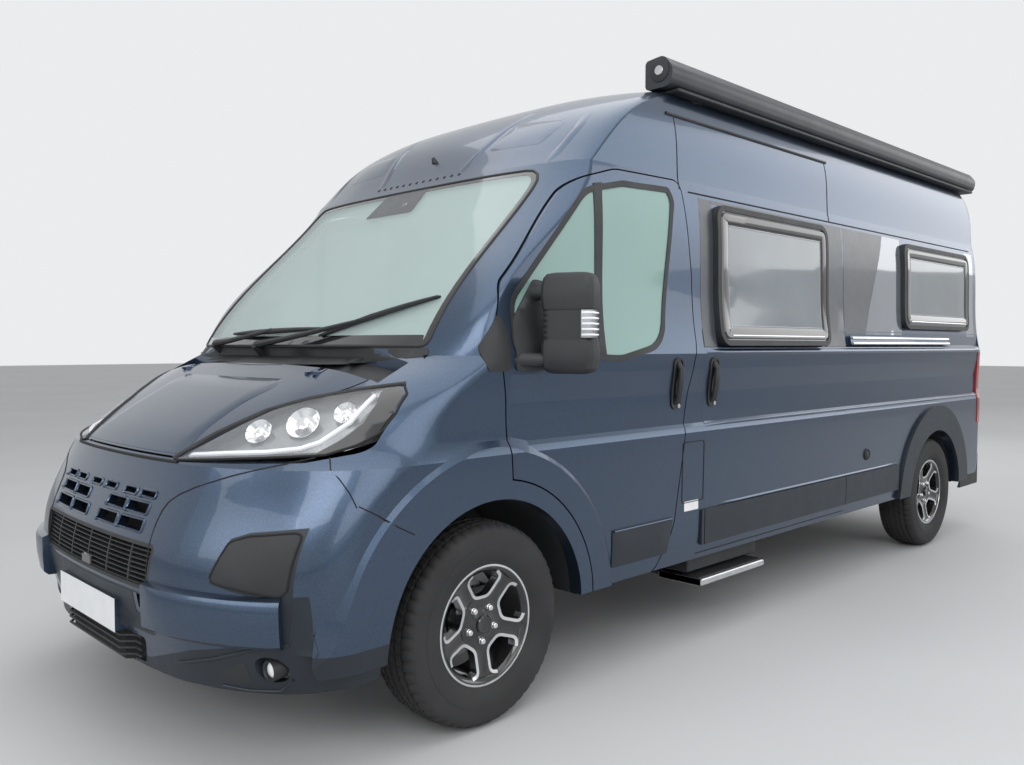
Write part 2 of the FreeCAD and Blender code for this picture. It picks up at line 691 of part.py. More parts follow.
# Cab doors: shell, glass, mirror, and trim

door_light = side_prism(DOOR_GLASS_LINE, X_IN, X_OUT)
door_panel = door_shape.cut(door_light)
glass_shape = envelope(3).cut(envelope(3 + S.glass_thickness)).common(door_light)
MIRROR_Y = front(265)


def mirror_shape():
    """Two-armed door mirror: a rounded head turned to the driver, on a foot at the door's front."""
    width, depth, height = 205, 120, 358
    head = Part.makeBox(width, depth, height, Vector(-width / 2, -depth / 2, 0))
    head = head.makeChamfer(26, head.Edges)
    head.rotate(Vector(0, 0, 0), Vector(0, 0, 1), 24)
    head.translate(Vector(S.mirror_half_width, MIRROR_Y, 1234))
    head.translate(Vector(S.mirror_half_width - head.BoundBox.XMax, 0, 0))
    foot = box(985, 1040, front(45), front(150), 1250, 1560)
    arms = [box(1020, 1120, front(70), front(210), z - 24, z + 24) for z in (1285, 1525)]
    arms = [arm.makeChamfer(8, arm.Edges) for arm in arms]
    return fused([head, foot] + arms).cut(outer_skin)


mirror = mirror_shape()


def on_skin(shape, depth):
    """The part of a shape that stands proud of the body by up to depth."""
    return shape.common(envelope(-depth)).cut(outer_skin)


handle = side_prism(window_line(front(1055), front(1125), 1062, 1280, 34), X_IN, X_OUT)
handle = on_skin(handle, 16)
moulding = side_prism(window_line(front(640), front(S.door_rear - 215), S.moulding_low, S.moulding_high, 4),
                      X_IN, X_OUT)
moulding = on_skin(moulding, S.moulding_proud).common(side_prism(DOOR_LINE, X_IN, X_OUT, GAP))
for side, name in ((LEFT, "left"), (RIGHT, "right")):
    feature("cab_door_" + name, tidy(on_side(door_panel, side)))
    feature("door_glass_" + name, tidy(on_side(glass_shape, side)))
    feature("door_trim_" + name, Part.makeCompound([on_side(item, side) for item in (mirror, handle, moulding)]))

# Side mouldings and the sliding door's rail

left_band = envelope(-S.moulding_proud).cut(outer_skin)
strips = []
for side in (LEFT, RIGHT):
    strip = side_prism(window_line(B_PILLAR_Y + 4, rear(-S.rear_arch_radius - S.rear_flare_width - 10), S.moulding_low, S.moulding_high, 4), X_IN, X_OUT)
    strips.append(on_side(left_band.common(strip), side))
slider_strip = strips[0].common(side_prism(SLIDER_LINE, X_IN, X_OUT, 3))
rest_strip = strips[0].cut(side_prism(SLIDER_LINE, X_IN, X_OUT, -3))
feature("side_mouldings", tidy(Part.makeCompound([slider_strip, rest_strip, strips[1]])))
rail_line = window_line(front(S.slider_rear + 40), rear(200), 1341, 1390, 10)
feature("slide_rail", tidy(on_skin(side_prism(rail_line, X_IN, X_OUT), 12)))

# Black wheel arch rings round the rear wheels

ring_band = envelope(-18).cut(outer_skin)
ring = wheel_cut(REAR_AXLE_Y, S.rear_arch_radius + S.rear_flare_width, X_IN, X_OUT)
ring = ring.cut(wheel_cut(REAR_AXLE_Y, S.rear_arch_radius, X_IN, X_OUT))
ring = ring.cut(body_box(NOSE_Y, TAIL_Y + 200, 0, S.sill_height))
ring = ring_band.common(ring)
feature("rear_arches", Part.makeCompound([tidy(ring), tidy(mirrored(ring))]))

# Tail doors

HINGE_X = S.tail_door_half_width
half_tail = tail_shape.common(body_box(TAIL_Y - 200, TAIL_Y + 100, 0, 2400, GAP / 2, HINGE_X - GAP))
tail_line = [(150, 1330, 60), (680, 1330, 60), (660, 1940, 60), (150, 1940, 60)]
tail_hole = front_prism(tail_line, TAIL_Y - 200, TAIL_Y + 100)
tail_glass = envelope(3).cut(envelope(3 + S.glass_thickness)).common(tail_hole)
for side, name in ((LEFT, "left"), (RIGHT, "right")):
    feature("tail_door_" + name, tidy(on_side(half_tail.cut(tail_hole), side)))
    feature("tail_glass_" + name, tidy(on_side(tail_glass, side)))

# Scuttle below the windscreen with the two wipers laid across the glass

def glass_point(x, height):
    """A point just above the windscreen's outer face at this x and height."""
    share = (height - S.cowl_height) / (S.header_height - S.cowl_height)
    y = COWL_Y + (S.header_setback - S.cowl_setback) * share
    bend = 0.45 * (x / 900) ** 2 * between(250, 130, share)
    return Vector(x, y + bend, height)


def wiper(pivot, tip):
    """Arm and blade as one rod above the glass, with a boss at the pivot and a foot down to the glass."""
    lift = Vector(0, -26, 26)
    arm = Part.makeCylinder(7, (tip - pivot).Length, pivot + lift, tip - pivot)
    boss = Part.makeCylinder(16, 62, pivot + Vector(0, 12, -12), Vector(0, -1, 1))
    foot = Part.makeCylinder(5, 80, tip + lift + (pivot - tip).normalize() * 30, Vector(0, 1, -1))
    return arm.multiFuse([boss, foot])


wipers = [wiper(glass_point(-562, 1318), glass_point(233, 1401)),
          wiper(glass_point(-166, 1312), glass_point(770, 1480))]
feature("scuttle", tidy(scuttle.multiFuse(ears).cut(ear_bores)))
feature("wipers", tidy(Part.makeCompound(wipers).cut(outer_body)))

# Tail: bumper and lamps

tail_bumper = outline([(-1010, rear(520), 0), (-1010, BODY_LENGTH / 2, 110), (1010, BODY_LENGTH / 2, 110),
                       (1010, rear(520), 0), (930, rear(520), 0), (930, BODY_LENGTH / 2 - 90, 60),
                       (-930, BODY_LENGTH / 2 - 90, 60), (-930, rear(520), 0)])
bumper_face = Part.Face(tail_bumper)
bumper_face.translate(Vector(0, 0, 330))
tail_bumper_shape = bumper_face.extrude(Vector(0, 0, 215)).cut([outer_body, ring, mirrored(ring)])
feature("rear_bumper", tidy(tail_bumper_shape))
tail_lamp = envelope(-4).cut(inner_body).common(tail_lamp_zone)
feature("tail_lamps", tidy(Part.makeCompound([tail_lamp, mirrored(tail_lamp)])))


# Pieces turned or padded from sketches

def term(constant=0.0, **parts):
    """A length as text bound to the sheet and as its present value, such as 2 * rim_radius + 5."""
    text = " + ".join(["%g" % constant] + ["%g * Sizes.%s" % (k, alias) for alias, k in parts.items()])
    return text, constant + sum(k * getattr(S, alias) for alias, k in parts.items())


def origin_plane(body, role):
    return [item for item in body.Origin.OriginFeatures if item.Role == role][0]


def bound_loop(sketch, points):
    """Adds a closed loop of straight edges whose corners are held by bound distances from the axes."""
    first = sketch.GeometryCount
    corners = [Vector(u[1], v[1], 0) for u, v in points]
    count = len(points)
    for i in range(count):
        sketch.addGeometry(Part.LineSegment(corners[i], corners[(i + 1) % count]))
    for i in range(count):
        sketch.addConstraint(Sketcher.Constraint("Coincident", first + i, 2, first + (i + 1) % count, 1))
    for i, (u, v) in enumerate(points):
        for kind, (text, value) in (("DistanceX", u), ("DistanceY", v)):
            index = sketch.addConstraint(Sketcher.Constraint(kind, -1, 1, first + i, 1, value))
            sketch.setExpression("Constraints[%d]" % index, text)


def sketched(body, role, loops, name):
    sketch = body.newObject("Sketcher::SketchObject", name)
    sketch.AttachmentSupport = [(origin_plane(body, role), "")]
    sketch.MapMode = "FlatFace"
    for loop in loops:
        bound_loop(sketch, loop)
    return sketch


def turned(body, points, name):
    """A profile of (along the axle, out from the axle) turned about the body's X axis."""
    turn = body.newObject("PartDesign::Revolution", name)
    turn.Profile = sketched(body, "XY_Plane", [points], name + "Profile")
    turn.ReferenceAxis = (origin_plane(body, "X_Axis"), [""])
    turn.Angle = 360
    return turn


def rounded_radius(share):
    return term(rim_seat_radius=1 - share, tyre_radius=share)


def tyre_body(label, placement):
    body = doc.addObject("PartDesign::Body", label)
    right = [
        (term(-12.5, rim_half_width=1), term(rim_seat_radius=1)),
        (term(-8.5, rim_half_width=1), term(0.5, rim_radius=1)),
        (term(1, rim_half_width=1), term(0.5, rim_radius=1)),
        (term(-2, tyre_half_width=1), rounded_radius(0.3)),
        (term(tyre_half_width=1), rounded_radius(0.55)),
        (term(-10, tyre_half_width=1), rounded_radius(0.88)),
        (term(-24, tyre_half_width=1), rounded_radius(0.975)),
        (term(-60, tyre_half_width=1), rounded_radius(1)),
    ]
    left = [(negative(u), v) for u, v in reversed(right)]
    turned(body, right + left, "Carcass")
    body.Placement = placement
    return keep(body, label)


def negative(bound):
    text, value = bound
    return "-(%s)" % text, -value


def rim_body(label, placement):
    """Alloy wheel: barrel with flanges, dished face with five twin spokes, hub, bore and brake disc."""
    body = doc.addObject("PartDesign::Body", label)
    turned(body, [
        (term(rim_half_width=-1), term(rim_radius=1)),
        (term(8, rim_half_width=-1), term(rim_radius=1)),
        (term(12, rim_half_width=-1), term(-0.3, rim_seat_radius=1)),
        (term(-12, rim_half_width=1), term(-0.3, rim_seat_radius=1)),
        (term(-8, rim_half_width=1), term(rim_radius=1)),
        (term(rim_half_width=1), term(rim_radius=1)),
        (term(-9, rim_half_width=1), term(-8, rim_seat_radius=1)),
        (term(-30, rim_half_width=1), term(4, hub_radius=1)),
        (term(-16, rim_half_width=1), term(32)),
        (term(-8, rim_half_width=1), term(28)),
        (term(-8, rim_half_width=1), term(0.5)),
        (term(-50, rim_half_width=1), term(0.5)),
        (term(-50, rim_half_width=1), term(spindle_radius=1, spindle_play=1)),
        (term(disc_thickness=-0.5, disc_offset=-1), term(spindle_radius=1, spindle_play=1)),
        (term(disc_thickness=-0.5, disc_offset=-1), term(disc_radius=1)),
        (term(disc_thickness=0.5, disc_offset=-1), term(disc_radius=1)),
        (term(disc_thickness=0.5, disc_offset=-1), term(-14, hub_radius=1)),
        (term(-58, rim_half_width=1), term(-14, hub_radius=1)),
        (term(-50, rim_half_width=1), term(4, hub_radius=1)),
        (term(-30, rim_half_width=1), term(-10, rim_seat_radius=1)),
        (term(rim_half_width=-1), term(-10, rim_seat_radius=1)),
    ], "Turned")
    windows = body.newObject("PartDesign::Pocket", "SpokeWindows")
    big = [
        (term(-26), term(14, hub_radius=1)), (term(26), term(14, hub_radius=1)),
        (term(74), term(-34, rim_seat_radius=1)), (term(30), term(-16, rim_seat_radius=1)),
        (term(-30), term(-16, rim_seat_radius=1)), (term(-74), term(-34, rim_seat_radius=1)),
    ]
    windows.Profile = sketched(body, "YZ_Plane", [big], "WindowOutline")
    windows.Type = "ThroughAll"
    windows.Reversed = True
    pattern = body.newObject("PartDesign::PolarPattern", "Spokes")
    pattern.Originals = [windows]
    pattern.Axis = (origin_plane(body, "X_Axis"), [""])
    pattern.Angle = 360
    pattern.Occurrences = 5
    body.Tip = pattern
    body.Placement = placement
    return keep(body, label)


def wheel_place(side, y):
    turn = Rotation(Vector(0, 0, 1), 0 if side == LEFT else 180)
    return FreeCAD.Placement(Vector(side * S.half_track, y, S.tyre_radius), turn)


SIDES = ((LEFT, "left"), (RIGHT, "right"))
for y, end in ((FRONT_AXLE_Y, "front"), (REAR_AXLE_Y, "rear")):
    for side, name in SIDES:
        tyre_body("tyre_%s_%s" % (end, name), wheel_place(side, y))
        rim_body("rim_%s_%s" % (end, name), wheel_place(side, y))

# Front suspension: knuckles with strut, spindle and caliper; the crossmember with its arms

AXLE_Z = S.tyre_radius
KING_X = S.kingpin_half_track
DISC_X = S.half_track - S.disc_offset
SPINDLE_END = S.half_track + S.rim_half_width - 54
BALL_Z = 205


def knuckle_shape():
    y = FRONT_AXLE_Y
    parts = [
        rod((KING_X, y, BALL_Z), (KING_X, y, 300), 30),
        box(KING_X - 24, KING_X + 24, y - 42, y + 42, 240, 490),
        rod((KING_X, y, 480), (KING_X, y, 914.7), S.strut_radius),
        rod((KING_X, y, AXLE_Z), (DISC_X - S.disc_thickness / 2 - 6, y, AXLE_Z), 55),
        rod((KING_X, y, AXLE_Z), (SPINDLE_END, y, AXLE_Z), S.spindle_radius),
        box(KING_X - 24, DISC_X - S.disc_thickness / 2 - 6, y + 20, y + 120, AXLE_Z - 30, AXLE_Z + 60),
        box(KING_X - 60, KING_X, y + 30, y + 150, 280, 310),
    ]
    ring = rod((DISC_X - 28, y, AXLE_Z), (DISC_X + 28, y, AXLE_Z), S.disc_radius + 22)
    ring = ring.cut(rod((DISC_X - 29, y, AXLE_Z), (DISC_X + 29, y, AXLE_Z), 95))
    ring = ring.cut(rod((DISC_X - 18, y, AXLE_Z), (DISC_X + 18, y, AXLE_Z), S.disc_radius + 5))
    caliper = ring.common(box(DISC_X - 30, DISC_X + 30, y + 60, y + 200, AXLE_Z - 70, AXLE_Z + 90))
    return fused(parts + [caliper])


knuckle = knuckle_shape()
for side, name in SIDES:
    feature("knuckle_" + name, on_side(knuckle, side))

arms = [box(-RAIL_X, RAIL_X, FRONT_AXLE_Y - 60, FRONT_AXLE_Y + 60, 215, 285)]
for side, name in SIDES:
    x = side * KING_X
    arms.append(box(side * 380, x, FRONT_AXLE_Y - 32, FRONT_AXLE_Y + 32, BALL_Z - 32, BALL_Z - 0.3))
    arms.append(rod((x, FRONT_AXLE_Y, BALL_Z - 32), (x, FRONT_AXLE_Y, BALL_Z - 0.3), 32))
    arms.append(box(side * (RAIL_X - 35), side * (RAIL_X + 35), FRONT_AXLE_Y - 60, FRONT_AXLE_Y + 60, 173, RAIL_LOW))
feature("front_subframe", fused(arms))

# Rear axle: beam, differential, leaf springs and spindles; the propeller shaft

SPRING_X = S.spring_half_spacing
axle_parts = [
    rod((-KING_X, REAR_AXLE_Y, AXLE_Z), (KING_X, REAR_AXLE_Y, AXLE_Z), 48),
    rod((0, REAR_AXLE_Y - 150, AXLE_Z), (0, REAR_AXLE_Y + 120, AXLE_Z), 135),
]
for side in (LEFT, RIGHT):
    x = side * KING_X
    axle_parts.append(rod((x, REAR_AXLE_Y, AXLE_Z), (side * (DISC_X - 19), REAR_AXLE_Y, AXLE_Z), 70))
    axle_parts.append(rod((x, REAR_AXLE_Y, AXLE_Z), (side * SPINDLE_END, REAR_AXLE_Y, AXLE_Z), S.spindle_radius))
    leaf = Part.Face(outline([
        (rear(-690), 430, 0), (rear(-300), 330, 500), (rear(300), 330, 500), (rear(690), 430, 0),
        (rear(690), 404, 0), (rear(300), 290, 500), (rear(-300), 290, 500), (rear(-690), 404, 0)]))
    leaf.rotate(Vector(0, 0, 0), Vector(1, 1, 1), 120)
    leaf.translate(Vector(side * SPRING_X - 32, 0, 0))
    axle_parts.append(leaf.extrude(Vector(64, 0, 0)))
    axle_parts.append(box(side * SPRING_X - 45, side * SPRING_X + 45, REAR_AXLE_Y - 60, REAR_AXLE_Y + 60, 285, 400))
    for y in (rear(-690), rear(690)):
        axle_parts.append(rod((side * SPRING_X - 38, y, 418), (side * SPRING_X + 38, y, 418), 26))
        axle_parts.append(box(side * SPRING_X - 32, side * SPRING_X + 32, y - 20, y + 20, 418, RAIL_LOW))
feature("rear_axle", fused(axle_parts))
feature("prop_shaft", rod((0, front(700) + 0.5, GEARBOX_Z), (0, REAR_AXLE_Y - 150.5, AXLE_Z), 38))

# Under the floor: exhaust, tanks and the step's fixed guides

PIPE_X = -230
PIPE_Z = 340
pipe_start = front(-240)
exhaust = [
    rod((PIPE_X, pipe_start + 60, PIPE_Z), (PIPE_X, pipe_start + 60, 470), 22),
    rod((PIPE_X, pipe_start, PIPE_Z), (PIPE_X, front(1500), PIPE_Z), 30),
    rod((PIPE_X, front(1450), PIPE_Z), (PIPE_X, front(2050), PIPE_Z), 95),
    rod((PIPE_X, front(2000), PIPE_Z), (PIPE_X, rear(-420), PIPE_Z), 30),
    box(PIPE_X - 8, PIPE_X + 8, front(1490), front(1510), PIPE_Z, RAIL_LOW + 20),
]
feature("exhaust", fused(exhaust))


def padded_box(label, x0, x1, y0, y1, z0, height, radius):
    """A pad on the ground plan with its upright and lower edges rounded, its height bound to the sheet."""
    body = doc.addObject("PartDesign::Body", label)
    points = [((term(x)), term(y)) for x, y in ((x0, y0), (x1, y0), (x1, y1), (x0, y1))]
    pad = body.newObject("PartDesign::Pad", "Block")
    pad.Profile = sketched(body, "XY_Plane", [points], "Plan")
    pad.setExpression("Length", height)
    doc.recompute()
    soft = body.newObject("PartDesign::Fillet", "Rounded")
    soft.Base = (pad, ["Edge%d" % (i + 1) for i, edge in enumerate(pad.Shape.Edges)
                       if abs(edge.tangentAt(edge.FirstParameter).z) > 0.9])
    soft.Radius = radius
    body.Tip = soft
    body.Placement = FreeCAD.Placement(Vector(0, 0, z0), Rotation())
    return keep(body, label)


padded_box("fuel_tank", -940, -480, front(585), front(1250), FLOOR_LOW - S.tank_height, "Sizes.tank_height", 60)
padded_box("waste_tank", 480, 940, front(2080), front(2950), FLOOR_LOW - S.tank_height, "Sizes.tank_height", 60)

tread = box(STEP_X - S.step_depth, STEP_X, STEP_Y0, STEP_Y1, STEP_Z, STEP_Z + S.step_thickness)
tread = tread.makeFillet(8, [edge for edge in tread.Edges if abs(edge.tangentAt(0).y) > 0.9])
bars_out = [rod((STEP_X - S.step_depth - 310, y, BAR_Z), (STEP_X - S.step_depth + 10, y, BAR_Z), 10)
            for y in BAR_YS]
feature("entrance_step", fused([tread] + bars_out))

# Inside: dashboard, steering wheel, seats, kitchen and bed

dash_line = [
    (front(-150), 1235, 0), (front(120), 1225, 60), (front(235), 1130, 60), (front(190), 900, 60),
    (front(40), 860, 40), (front(-150), 900, 0)]
dash = clear_body.common(side_prism(dash_line, -1000, 1000))
dash = dash.cut([rod((side * S.kingpin_half_track, FRONT_AXLE_Y, 800),
                     (side * S.kingpin_half_track, FRONT_AXLE_Y, 940), 85) for side in (LEFT, RIGHT)])

WHEEL_X = -S.seat_half_spacing
wheel_centre = Vector(WHEEL_X, front(395), 1130)
wheel_axis = Vector(0, 0.8, 0.6)
column = Part.makeCylinder(30, 209.7, wheel_centre - wheel_axis * 240, wheel_axis)
feature("dashboard", fused([tidy(dash), column]))
octagon = [Vector(S.steering_radius + 14 * math.cos(math.radians(45 * i)), 0, 14 * math.sin(math.radians(45 * i)))
           for i in range(8)]
hoop = Part.Face(Part.makePolygon(octagon + octagon[:1])).revolve(Vector(0, 0, 0), Vector(0, 0, 1), 360)
hoop.Placement = FreeCAD.Placement(wheel_centre, Rotation(Vector(0, 0, 1), wheel_axis))
boss = Part.makeCylinder(62, 40, wheel_centre - wheel_axis * 30, wheel_axis)
spoke = Part.makeBox(2 * S.steering_radius - 4, 22, 44)
spoke.translate(Vector(-S.steering_radius + 2, -11, -22))
spoke.rotate(Vector(0, 0, 0), Vector(1, 0, 0), -53.13 + 90)
spoke.translate(wheel_centre - wheel_axis * 8)
feature("steering_wheel", fused([hoop, boss, spoke]))


def seat_shape(x):
    w = S.seat_width / 2
    base = box(x - w + 40, x + w - 40, front(640), front(1080), FLOOR_TOP, 900)
    cushion = box(x - w, x + w, front(580), front(1110), 900, 1020)
    cushion = cushion.makeChamfer(28, cushion.Edges)
    back = Part.makeBox(2 * w, 130, 690, Vector(x - w, 0, 0))
    back = back.makeChamfer(30, back.Edges)
    head = Part.makeBox(270, 100, 190, Vector(x - 135, 10, 730))
    head = head.makeChamfer(24, head.Edges)
    posts = [rod((x + dx, 60, 640), (x + dx, 60, 780), 8) for dx in (-70, 70)]
    upper = back.multiFuse([head] + posts)
    upper.rotate(Vector(x, 0, 0), Vector(1, 0, 0), -12)
    upper.translate(Vector(0, front(1040), 950))
    return fused([base, cushion, upper])


feature("cab_seats", Part.makeCompound([seat_shape(side * S.seat_half_spacing) for side in (LEFT, RIGHT)]))

kitchen = lined_body.common(box(-1000, -480, front(1500), front(2950), FLOOR_TOP, S.kitchen_height - 240))
bed_y0 = rear(-650)
bed = lined_body.common(body_box(bed_y0, TAIL_Y - WALL - 60, S.bench_height - 40, S.bench_height))
legs = [lined_body.common(box(side * 540, side * 570, bed_y0, TAIL_Y - WALL - 60, FLOOR_TOP, S.bench_height - 40))
        for side in (LEFT, RIGHT)]
bed_base = fused([tidy(bed)] + legs)
feature("furniture", Part.makeCompound([tidy(kitchen), bed_base]))
mattress = envelope(WALL + 20).common(body_box(bed_y0 + 20, TAIL_Y - WALL - 80, S.bench_height + 0.3,
                                               S.bench_height + 120))
feature("mattress", tidy(mattress))

# On the roof: awning case with its brackets, two roof lights

AWNING_X = 860
AWNING_LOW = S.roof_height - 52
AWNING_Y1 = rear(940)
half_case = S.awning_width / 2
case_line = [(AWNING_X - half_case, AWNING_LOW, 20), (AWNING_X + half_case - 15, AWNING_LOW, 40),
             (AWNING_X + half_case, AWNING_LOW + 0.55 * S.awning_height, 50),
             (AWNING_X + 25, AWNING_LOW + S.awning_height, 40),
             (AWNING_X - half_case, AWNING_LOW + S.awning_height - 10, 20)]
case = front_prism(case_line, AWNING_Y1 - S.awning_length, AWNING_Y1)
feet = [box(AWNING_X - 90, AWNING_X + 20, y - 40, y + 40, AWNING_LOW - 110, AWNING_LOW + 30)
        for y in (AWNING_Y1 - S.awning_length + 260, AWNING_Y1 - S.awning_length / 2, AWNING_Y1 - 260)]
feature("awning", tidy(fused([case] + feet).cut(outer_body)))
vents = []
for y, half_x, half_y in ((front(2050), 350, 250), (rear(-350), 200, 200)):
    vent = box(-half_x, half_x, y - half_y, y + half_y, S.roof_height, S.roof_height + S.vent_height)
    vents.append(vent.makeChamfer(18, [edge for edge in vent.Edges if edge.BoundBox.ZMax > S.roof_height + 30]))
feature("roof_lights", Part.makeCompound(vents))

doc.recompute()
for obj in doc.Objects:
    if "Invalid" in obj.State or "Error" in obj.State:
        raise RuntimeError("%s did not build: %s" % (obj.Label, obj.State))
for piece in PIECES:
    if piece.Shape.isNull() or not piece.Shape.isValid():
        raise RuntimeError("%s has no valid shape" % piece.Label)
os.makedirs("parts", exist_ok=True)
for piece in PIECES:
    piece.Shape.exportStep("parts/%s.step" % piece.Label)
print(len(PIECES), "sub-parts")
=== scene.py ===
import json
import math

import bmesh
import bpy
from mathutils import Matrix, Vector
from mathutils.bvhtree import BVHTree


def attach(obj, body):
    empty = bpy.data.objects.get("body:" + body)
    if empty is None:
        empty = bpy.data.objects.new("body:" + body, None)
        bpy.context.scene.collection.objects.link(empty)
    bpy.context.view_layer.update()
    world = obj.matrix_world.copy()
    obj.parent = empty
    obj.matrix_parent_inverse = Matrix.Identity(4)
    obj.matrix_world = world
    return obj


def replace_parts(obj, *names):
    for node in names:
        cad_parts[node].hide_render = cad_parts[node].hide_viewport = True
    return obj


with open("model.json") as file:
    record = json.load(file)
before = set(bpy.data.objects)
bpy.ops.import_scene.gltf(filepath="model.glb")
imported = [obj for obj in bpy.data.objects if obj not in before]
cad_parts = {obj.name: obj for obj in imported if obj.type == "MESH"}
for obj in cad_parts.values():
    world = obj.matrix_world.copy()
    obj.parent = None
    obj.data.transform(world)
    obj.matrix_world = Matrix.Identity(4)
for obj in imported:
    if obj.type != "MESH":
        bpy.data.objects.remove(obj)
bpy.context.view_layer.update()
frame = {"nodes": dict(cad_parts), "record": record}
NODES = frame["nodes"]
HALF = 2.999
FRONT_Y = -2.006
REAR_Y = 2.029
HUB_Z = 0.36
TRACK = 0.895
LEFT, RIGHT = 1, -1


# Materials, all worked out from nodes

class Paint:
    """A node material with short calls for the usual chains."""

    def __init__(self, name, slot=None):
        self.mat = bpy.data.materials.new(name)
        self.mat.use_nodes = True
        self.slot = slot
        self.tree = self.mat.node_tree
        self.nodes = self.tree.nodes
        self.shader = self.nodes["Principled BSDF"]
        self.coords = self.nodes.new("ShaderNodeTexCoord")

    def set(self, **values):
        names = {"base": "Base Color", "metal": "Metallic", "rough": "Roughness", "coat": "Coat Weight",
                 "coat_rough": "Coat Roughness", "ior": "IOR", "clear": "Transmission Weight",
                 "sheen": "Sheen Weight", "glow": "Emission Strength", "glow_colour": "Emission Color",
                 "alpha": "Alpha", "specular": "Specular IOR Level"}
        for key, value in values.items():
            if key in ("base", "glow_colour"):
                value = (*value, 1.0)
            self.shader.inputs[names[key]].default_value = value
        return self

    def noise(self, scale, detail=3.0, stretch=(1, 1, 1)):
        mapping = self.nodes.new("ShaderNodeMapping")
        mapping.inputs["Scale"].default_value = stretch
        self.tree.links.new(self.coords.outputs["Object"], mapping.inputs["Vector"])
        noise = self.nodes.new("ShaderNodeTexNoise")
        noise.inputs["Scale"].default_value = scale
        noise.inputs["Detail"].default_value = detail
        self.tree.links.new(mapping.outputs["Vector"], noise.inputs["Vector"])
        return noise.outputs[0]

    def cells(self, scale, feature="F1"):
        cells = self.nodes.new("ShaderNodeTexVoronoi")
        cells.feature = feature
        cells.inputs["Scale"].default_value = scale
        self.tree.links.new(self.coords.outputs["Object"], cells.inputs["Vector"])
        return cells.outputs["Distance"]

    def wave(self, scale, axis="X", profile="SIN"):
        wave = self.nodes.new("ShaderNodeTexWave")
        wave.bands_direction = axis
        wave.wave_profile = profile
        wave.inputs["Scale"].default_value = scale
        self.tree.links.new(self.coords.outputs["Object"], wave.inputs["Vector"])
        return wave.outputs["Fac"]

    def ramp(self, source, stops):
        ramp = self.nodes.new("ShaderNodeValToRGB")
        ramp.color_ramp.elements[0].position = stops[0][0]
        ramp.color_ramp.elements[0].color = (*stops[0][1], 1)
        ramp.color_ramp.elements[1].position = stops[-1][0]
        ramp.color_ramp.elements[1].color = (*stops[-1][1], 1)
        for place, colour in stops[1:-1]:
            ramp.color_ramp.elements.new(place).color = (*colour, 1)
        self.tree.links.new(source, ramp.inputs["Fac"])
        return ramp.outputs["Color"]

    def colour(self, source, stops):
        self.tree.links.new(self.ramp(source, stops), self.shader.inputs["Base Color"])
        return self

    def roughness(self, source, low, high):
        spread = self.nodes.new("ShaderNodeMapRange")
        spread.inputs["To Min"].default_value = low
        spread.inputs["To Max"].default_value = high
        self.tree.links.new(source, spread.inputs["Value"])
        self.tree.links.new(spread.outputs["Result"], self.shader.inputs["Roughness"])
        return self

    def bump(self, source, strength, distance):
        bump = self.nodes.new("ShaderNodeBump")
        bump.inputs["Strength"].default_value = strength
        bump.inputs["Distance"].default_value = distance
        self.tree.links.new(source, bump.inputs["Height"])
        self.tree.links.new(bump.outputs["Normal"], self.shader.inputs["Normal"])
        return self


def body_paint():
    paint = Paint("body_paint", "body_paint").set(metal=0.88, coat=0.5, coat_rough=0.03)
    paint.colour(paint.noise(900, 1.0), [(0.35, (0.024, 0.04, 0.07)), (0.65, (0.074, 0.112, 0.176))])
    return paint.roughness(paint.noise(1400, 1.0), 0.24, 0.36)


def grained(name, slot, dark, light, rough=0.55, scale=700, depth=0.0004):
    plastic = Paint(name, slot).set(specular=0.4)
    plastic.colour(plastic.noise(6), [(0.3, dark), (0.7, light)])
    plastic.roughness(plastic.noise(24), rough - 0.08, rough + 0.08)
    return plastic.bump(plastic.cells(scale), 0.35, depth)


def smooth(name, slot, dark, light, rough=0.2, metal=0.0, coat=0.0, scale=14):
    skin = Paint(name, slot).set(metal=metal, coat=coat)
    skin.colour(skin.noise(scale), [(0.3, dark), (0.7, light)])
    return skin.roughness(skin.noise(scale * 3), rough * 0.8, rough * 1.2)


def glass(name, slot, tint, rough=0.0, clear=1.0, alpha=1.0):
    pane = Paint(name, slot).set(clear=clear, ior=1.45, alpha=alpha)
    pane.colour(pane.noise(3), [(0.3, tint), (0.7, tuple(min(1, c * 1.04) for c in tint))])
    return pane.roughness(pane.noise(2), rough, rough + 0.01)


def woven(name, slot, dark, light, scale=520):
    cloth = Paint(name, slot).set(sheen=0.25)
    cloth.colour(cloth.wave(scale, "DIAGONAL"), [(0.2, dark), (0.8, light)])
    cloth.roughness(cloth.noise(60), 0.8, 0.95)
    return cloth.bump(cloth.wave(scale, "DIAGONAL"), 0.4, 0.0006)


def veneer():
    wood = Paint("furniture_wood", "furniture_wood").set(coat=0.15)
    grain = wood.noise(3.2, 8, (1, 9, 0.8))
    wood.colour(grain, [(0.35, (0.32, 0.22, 0.13)), (0.5, (0.42, 0.31, 0.2)), (0.65, (0.5, 0.38, 0.26))])
    return wood.roughness(grain, 0.4, 0.55)


